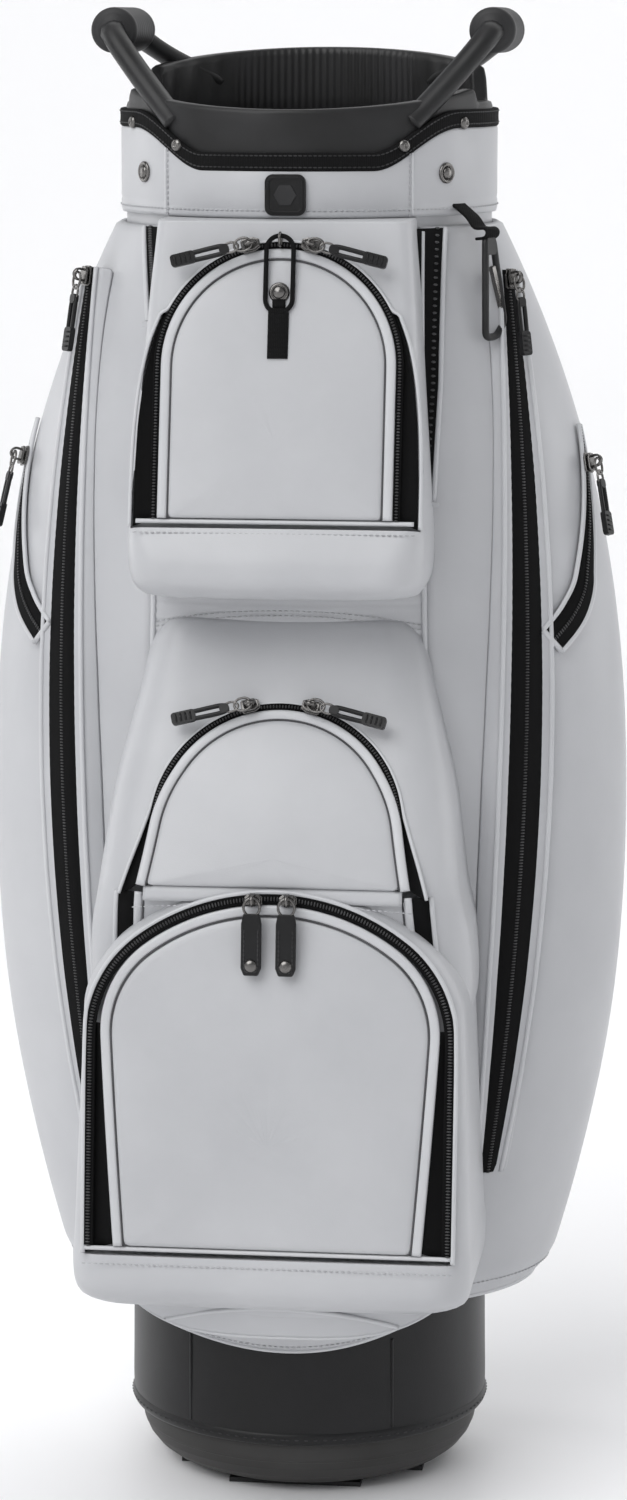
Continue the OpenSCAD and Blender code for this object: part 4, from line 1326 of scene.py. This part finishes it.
LOOP_Y = 146.0
b = np.linspace(0, np.pi, 20)
loop_line = np.vstack([np.column_stack([8.2 * np.cos(b), LOOP_Y + 18 + 8.2 * np.sin(b)]),
                       np.column_stack([-8.2 * np.cos(b), LOOP_Y - 12 - 8.2 * np.sin(b)])])
path = UPPER.lift(loop_line, 6.6)
cord_loop = sweep("cord_loop", path, UPPER.out(), oval(2.9, 2.9), WEBBING, closed=True)
done(cord_loop, "upper_flap", "black_fabric", "elastic_loop")
loop("loop_ring", ring_path(5.2, 4.0), UPPER.m @ move(0, LOOP_Y + 24, 6.6) @ turn(90, "Y"),
     oval(1.6, 1.6, 0, 8), GUNMETAL, "upper_flap", "gunmetal")
m_stud = UPPER.m @ move(0, LOOP_Y - 8, 3.4)
stud_outline = [(6.3, 0), (6.3, 1.6), (5.8, 2.8), (4.6, 3.2), (4.2, 2.6), (3.9, 4.6), (2.6, 5.8), (0.01, 6.1)]
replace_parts(dome("loop_stud", m_stud, stud_outline, GUNMETAL, "upper_flap", "gunmetal"), "loop_tab")
y = np.linspace(LOOP_Y - 48, LOOP_Y - 18, 90)
path = UPPER.lift(np.column_stack([0 * y, y]), 6.4 + 0.15 * np.sin(y * np.pi / 1.5))
done(sweep("loop_webbing", path, UPPER.out(), strap_profile(12.6, 2.4), WEBBING), "upper_flap",
     "black_fabric")
done(sweep("loop_neck", apply(UPPER.m, [(0, LOOP_Y - 19, 5.2), (0, LOOP_Y - 12, 6.2)]), UPPER.out(),
           strap_profile(8, 1.8), WEBBING), "upper_flap", "black_fabric")

HOOK = move(119.6, -74.7, 802) @ turn(58, "Z") @ turn(86, "X")
strap_line = smooth_curve([(0, 18, -22), (0, 10, -12), (0, 3.5, -6.6), (0, 2.6, 1.0), (0, 0, 3.0),
                           (0, -2.8, 0.8), (0, -3.4, -5.6)], 50)
hook_loop = sweep("hook_webbing", apply(HOOK, strap_line), HOOK[:3, 2] + HOOK[:3, 1] * 0.3,
                  strap_profile(13.5, 1.8), WEBBING)
done(hook_loop, "bag", "black_fabric", "hook_strap")


def rounded_corners(points, r, steps=7):
    """A closed outline with its corners rounded."""
    p = np.asarray(points, float)
    out = []
    for k in range(len(p)):
        a0, b0, c0 = p[k - 1], p[k], p[(k + 1) % len(p)]
        s0, e0 = b0 + unit(a0 - b0) * r, b0 + unit(c0 - b0) * r
        for t in np.linspace(0, 1, steps):
            out.append((1 - t) ** 2 * s0 + 2 * t * (1 - t) * b0 + t * t * e0)
    return np.array(out)


frame_line = rounded_corners([(-3.6, -3.2), (3.8, -3.2), (11.2, -55), (2.5, -63.5), (-8.4, -63.5)], 4.0)
frame_line = np.column_stack([frame_line, 0 * frame_line[:, 0]])
hook_frame = sweep("hook_frame", apply(HOOK, frame_line), HOOK[:3, 2], oval(4.6, 4.4, 0, 12), PLASTIC,
                   closed=True)
done(hook_frame, "hook", "black_plastic", "snap_hook")
lay("hook_crown", rounded(9, 11, 2.5), 4.2, HOOK @ move(0, -8, -2.1), PLASTIC, "hook", "black_plastic",
    edge=0.9)
gate_m = HOOK @ move(5.2, -46, 0) @ turn(17, "Z")
gate = lay("gate_bar", [(2.2, -1.6), (5.6, -1.6), (5.6, 25.6), (2.2, 25.6)], 3.0,
           gate_m @ move(0, 0, -1.5), GUNMETAL, "gate", "gunmetal", edge=0.7)
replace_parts(gate, "hook_gate")


# ---------------------------------------------------------------- seams over the pockets

x = np.linspace(-84, 84, 60)
path = LOWER.lift(np.column_stack([x, 209 + 3 * (1 - (x / 84) ** 2)]), 0.2)
sewn("lower_top_thread_a", path, LOWER.out())
for p, word, half, y, zz in ((UPPER, "upper", 84, -7, 4.4), (LOWER, "lower", 112, -9, 3.4)):
    x = np.linspace(-half, half, 90)
    path = p.lift(np.column_stack([x, np.full(90, float(y))]), zz)
    sewn(f"{word}_band_thread", path, p.out())
    top = p.lift(np.column_stack([x, np.full(90, 0.2)]), 0.6)
    piping(f"{word}_band_roll", top, p.out(), 2.8, 2.6)


def side_slit(side, foot, edge_top, edge_foot):
    """The black way in beside the upper pocket: a wedge that narrows downwards, with a piped edge."""
    s = SIDES[side]
    z = np.linspace(foot, TOP_Z - 1, 40)
    edge = np.interp(z, [foot, foot + 70, TOP_Z], [edge_foot, (edge_foot + edge_top) / 2 + 1.5, edge_top])
    rows, rim_line, teeth = [], [], []
    for h, e in zip(z, edge):
        x = np.linspace(64, e, 8)
        rows.append(on_side(np.degrees(np.arcsin(x / half_width(h))), h, 1.2))
        for store, value in ((rim_line, e), (teeth, e - 4.5)):
            store.append(on_side(math.degrees(math.asin(value / half_width(h))), h, 1.8))
    flip_x = np.array([s, 1, 1])
    done(sheet(f"slit_{side}", np.array(rows) * flip_x, MESH_CLOTH, thickness=0.8, offset=0), "bag",
         "black_fabric")
    rim_line, teeth = np.array(rim_line) * flip_x, np.array(teeth) * flip_x
    piping(f"slit_roll_{side}", rim_line, (0, -1, 0), 3.2)
    done(many(f"slit_coil_{side}", teeth, np.array([1.0, 0, 0]), np.array([0, -1.0, 0]),
              bead(3.2, 1.6, 1.4), TEETH), "bag", "black_fabric")
    tack = move(*(rim_line[0] + [0, -1.6, -2])) @ turn(90, "X")
    lay(f"slit_tack_{side}", rounded(7, 3.2, 1.2), 1.2, tack, PALE_ROLL_PAINTED_HIGHLIGHT, "bag", "leather")


side_slit("right", 640, 92, 88.5)
side_slit("left", 748, 95, 87)


# ---------------------------------------------------------------- back panel and shoulder strap

BACK_LOW, BACK_HIGH = box("back_panel")
z = np.linspace(BACK_LOW[2], BACK_HIGH[2], 90)
rows = []
for x in np.linspace(-BACK_HIGH[0], BACK_HIGH[0], 27):
    k = x / BACK_HIGH[0]
    edge = 3.2 * k ** 8
    channel = 1.3 * np.exp(-((np.mod(z - BACK_LOW[2], 109) - 54.5) / 3.0) ** 2) * (1 - k ** 6)
    end = 3.0 * np.exp(-((z - BACK_LOW[2]) / 5) ** 2) + 3.0 * np.exp(-((BACK_HIGH[2] - z) / 5) ** 2)
    rows.append(np.stack([x + 0 * z, BACK_HIGH[1] - edge - channel - end, z], -1))
first = np.array(rows)[0].copy()
first[:, 1] = 96
last = np.array(rows)[-1].copy()
last[:, 1] = 96
pad = sheet("back_pad", np.vstack([[first], rows, [last]]), PALE, thickness=2.0)
done(pad, "bag", "leather", "back_panel")
for s in (-1, 1):
    path = np.stack([s * (BACK_HIGH[0] - 1.5) + 0 * z, BACK_HIGH[1] - 2.4 + 0 * z, z], -1)
    piping(f"back_piping_{s + 1}", path, (0, 1, 0), 3.4)
STRAP_LOW, STRAP_HIGH = box("shoulder_strap")
half = (STRAP_HIGH[2] - STRAP_LOW[2]) / 2
middle = (STRAP_HIGH[2] + STRAP_LOW[2]) / 2
rise = STRAP_HIGH[1] - STRAP_LOW[1] - 6.0
t = np.linspace(-1, 1, 120)
centre = np.stack([0 * t, STRAP_HIGH[1] - 3.0 - rise * t ** 2, middle + half * t], -1)
size = np.interp(np.abs(t), [0, 0.72, 0.86, 1], [1.0, 1.0, 0.86, 0.74])
tangent = unit(np.gradient(centre, axis=0))
out = np.cross([1.0, 0, 0], tangent) * -1
out = out * np.sign(out[:, 1:2])
cross = []
for b in np.linspace(0, 2 * np.pi, 44, endpoint=False):
    cx, cz = math.cos(b), math.sin(b)
    wide = 24 * math.copysign(abs(cx) ** 0.55, cx)
    thick = 3.4 * math.copysign(abs(cz) ** 0.75, cz)
    thick = thick * (1 - 0.16 * math.exp(-((abs(wide) - 18.5) / 1.5) ** 2))
    puffs = 1 - 0.10 * np.exp(-((np.mod((t + 1) * 5.5, 1.0) - 0.5) / 0.08) ** 2)
    cross.append(centre + np.outer(size * wide, [1, 0, 0]) + out * (thick * puffs)[:, None])
strap = sheet("strap_pad", np.array(cross).transpose(1, 0, 2), WEBBING, wrap=True)
done(strap, "bag", "black_fabric", "shoulder_strap")
for s in (-1, 1):
    path = centre + np.outer(size * 18.5 * s, [1, 0, 0]) + out * 2.9
    done(stitches(f"strap_thread_{s + 1}", path, out, THREAD), "bag", "black_fabric")
for word, z0, flip_z in (("top", 782, 1), ("bottom", 398, -1)):
    m_anchor = move(0, 123.6, z0) @ turn(180, "Z") @ turn(90, "X")
    obj = lay(f"strap_patch_{word}", rounded(54, 24, 4), 6.5, m_anchor, DARK_LEATHER, "bag",
              "black_leather", edge=1.2)
    if word == "top":
        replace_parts(obj, "strap_anchors")
    loop(f"strap_ring_{word}", ring_path(21, 5), m_anchor @ move(0, -flip_z * 11, 8.6), oval(3.0, 3.0),
         GUNMETAL, "bag", "gunmetal")
    edge = np.array(rounded(48, 18, 3))
    path = apply(m_anchor, np.column_stack([edge, np.full(len(edge), 6.6)]))
    done(stitches(f"strap_patch_thread_{word}", np.vstack([path, path[:1]]), (0, 1, 0), THREAD, pitch=3),
         "bag", "black_leather")


# ---------------------------------------------------------------- pieces kept as they are in the frame

def dress(material, slot, *names, edge=0.0):
    for name in names:
        node = frame["nodes"][name]
        node.data.materials.clear()
        node.data.materials.append(material)
        node.data.polygons.foreach_set("material_index", [0] * len(node.data.polygons))
        if edge:
            bevel(node, edge, 3, 40)


dress(PALE, "leather", "body_skin")
dress(CUP_PLASTIC, "black_plastic", "base_cup")
dress(PLASTIC, "grip_rubber", "base_feet", edge=1.0)
dress(LINING, "lining", "core_tube", "divider_panels")
dress(DARK_LEATHER, "black_leather", "divider_bars", edge=2.4)
dress(ROD, "rod", "stay_rods")


# ---------------------------------------------------------------- floor, light and camera

def staging(name, color, roughness):
    s = Shader(name, color, roughness)
    s.rough(s.noise(8, 2), roughness - 0.03, roughness + 0.03)
    return s.material


FLOOR = staging("floor_paint", (0.93, 0.93, 0.94), 0.45)
# a wide bowl: flat under the bag, rising far off, so that no horizon shows
bowl = [(1, 0), (3000, 0), (6500, 0), (9000, 180), (12000, 1000), (14000, 2600), (15500, 5000)]
floor = lathe("floor", smooth_curve(bowl, 70), FLOOR)


def lamp(name, kind, energy, place_mm, aim_mm, size=1.0, size_y=None, color=(1, 1, 1)):
    data = bpy.data.lights.new(name, kind)
    data.energy = energy
    data.color = color
    if kind == "AREA":
        data.shape = "RECTANGLE"
        data.size = size
        data.size_y = size_y or size
    else:
        data.angle = math.radians(size)
    obj = bpy.data.objects.new(name, data)
    obj.location = Vector(place_mm) * MM
    obj.rotation_euler = (Vector(aim_mm) - Vector(place_mm)).to_track_quat("-Z", "Y").to_euler()
    bpy.context.scene.collection.objects.link(obj)
    return obj


lamp("key", "SUN", 1.95, (-1500, -2300, 3600), (0, 0, 400), 50)
lamp("fill", "SUN", 0.15, (2500, -2200, 1500), (0, 0, 400), 70)
lamp("back", "SUN", 1.0, (800, 2600, 3600), (0, 0, 400), 60)
lamp("soft_box", "AREA", 3.0, (-900, -1500, 1500), (0, 0, 520), 0.7, 1.3)
lamp("rim_left", "AREA", 5, (-1500, 500, 1100), (0, 0, 500), 0.5, 1.6)
lamp("rim_right", "AREA", 5, (1500, 500, 1100), (0, 0, 500), 0.5, 1.6)
world = bpy.data.worlds.new("studio")
world.use_nodes = True
background = world.node_tree.nodes["Background"]
background.inputs["Color"].default_value = (0.96, 0.97, 1.0, 1)
background.inputs["Strength"].default_value = 0.26
bpy.context.scene.world = world

AZ, DISTANCE, HEIGHT, PITCH, SHIFT = math.radians(7), 2760.0, 930.0, 9.535, 2.5
lens = bpy.data.cameras.new("camera")
lens.sensor_width = 36
lens.lens = 104.256
lens.clip_end = 200
camera = bpy.data.objects.new("camera", lens)
camera.location = Vector((math.sin(AZ) * DISTANCE + SHIFT * math.cos(AZ),
                          -math.cos(AZ) * DISTANCE + SHIFT * math.sin(AZ), HEIGHT)) * MM
camera.rotation_euler = (math.radians(90 - PITCH), 0, AZ)
bpy.context.scene.collection.objects.link(camera)
bpy.context.scene.camera = camera
bpy.context.scene.view_settings.view_transform = "Standard"
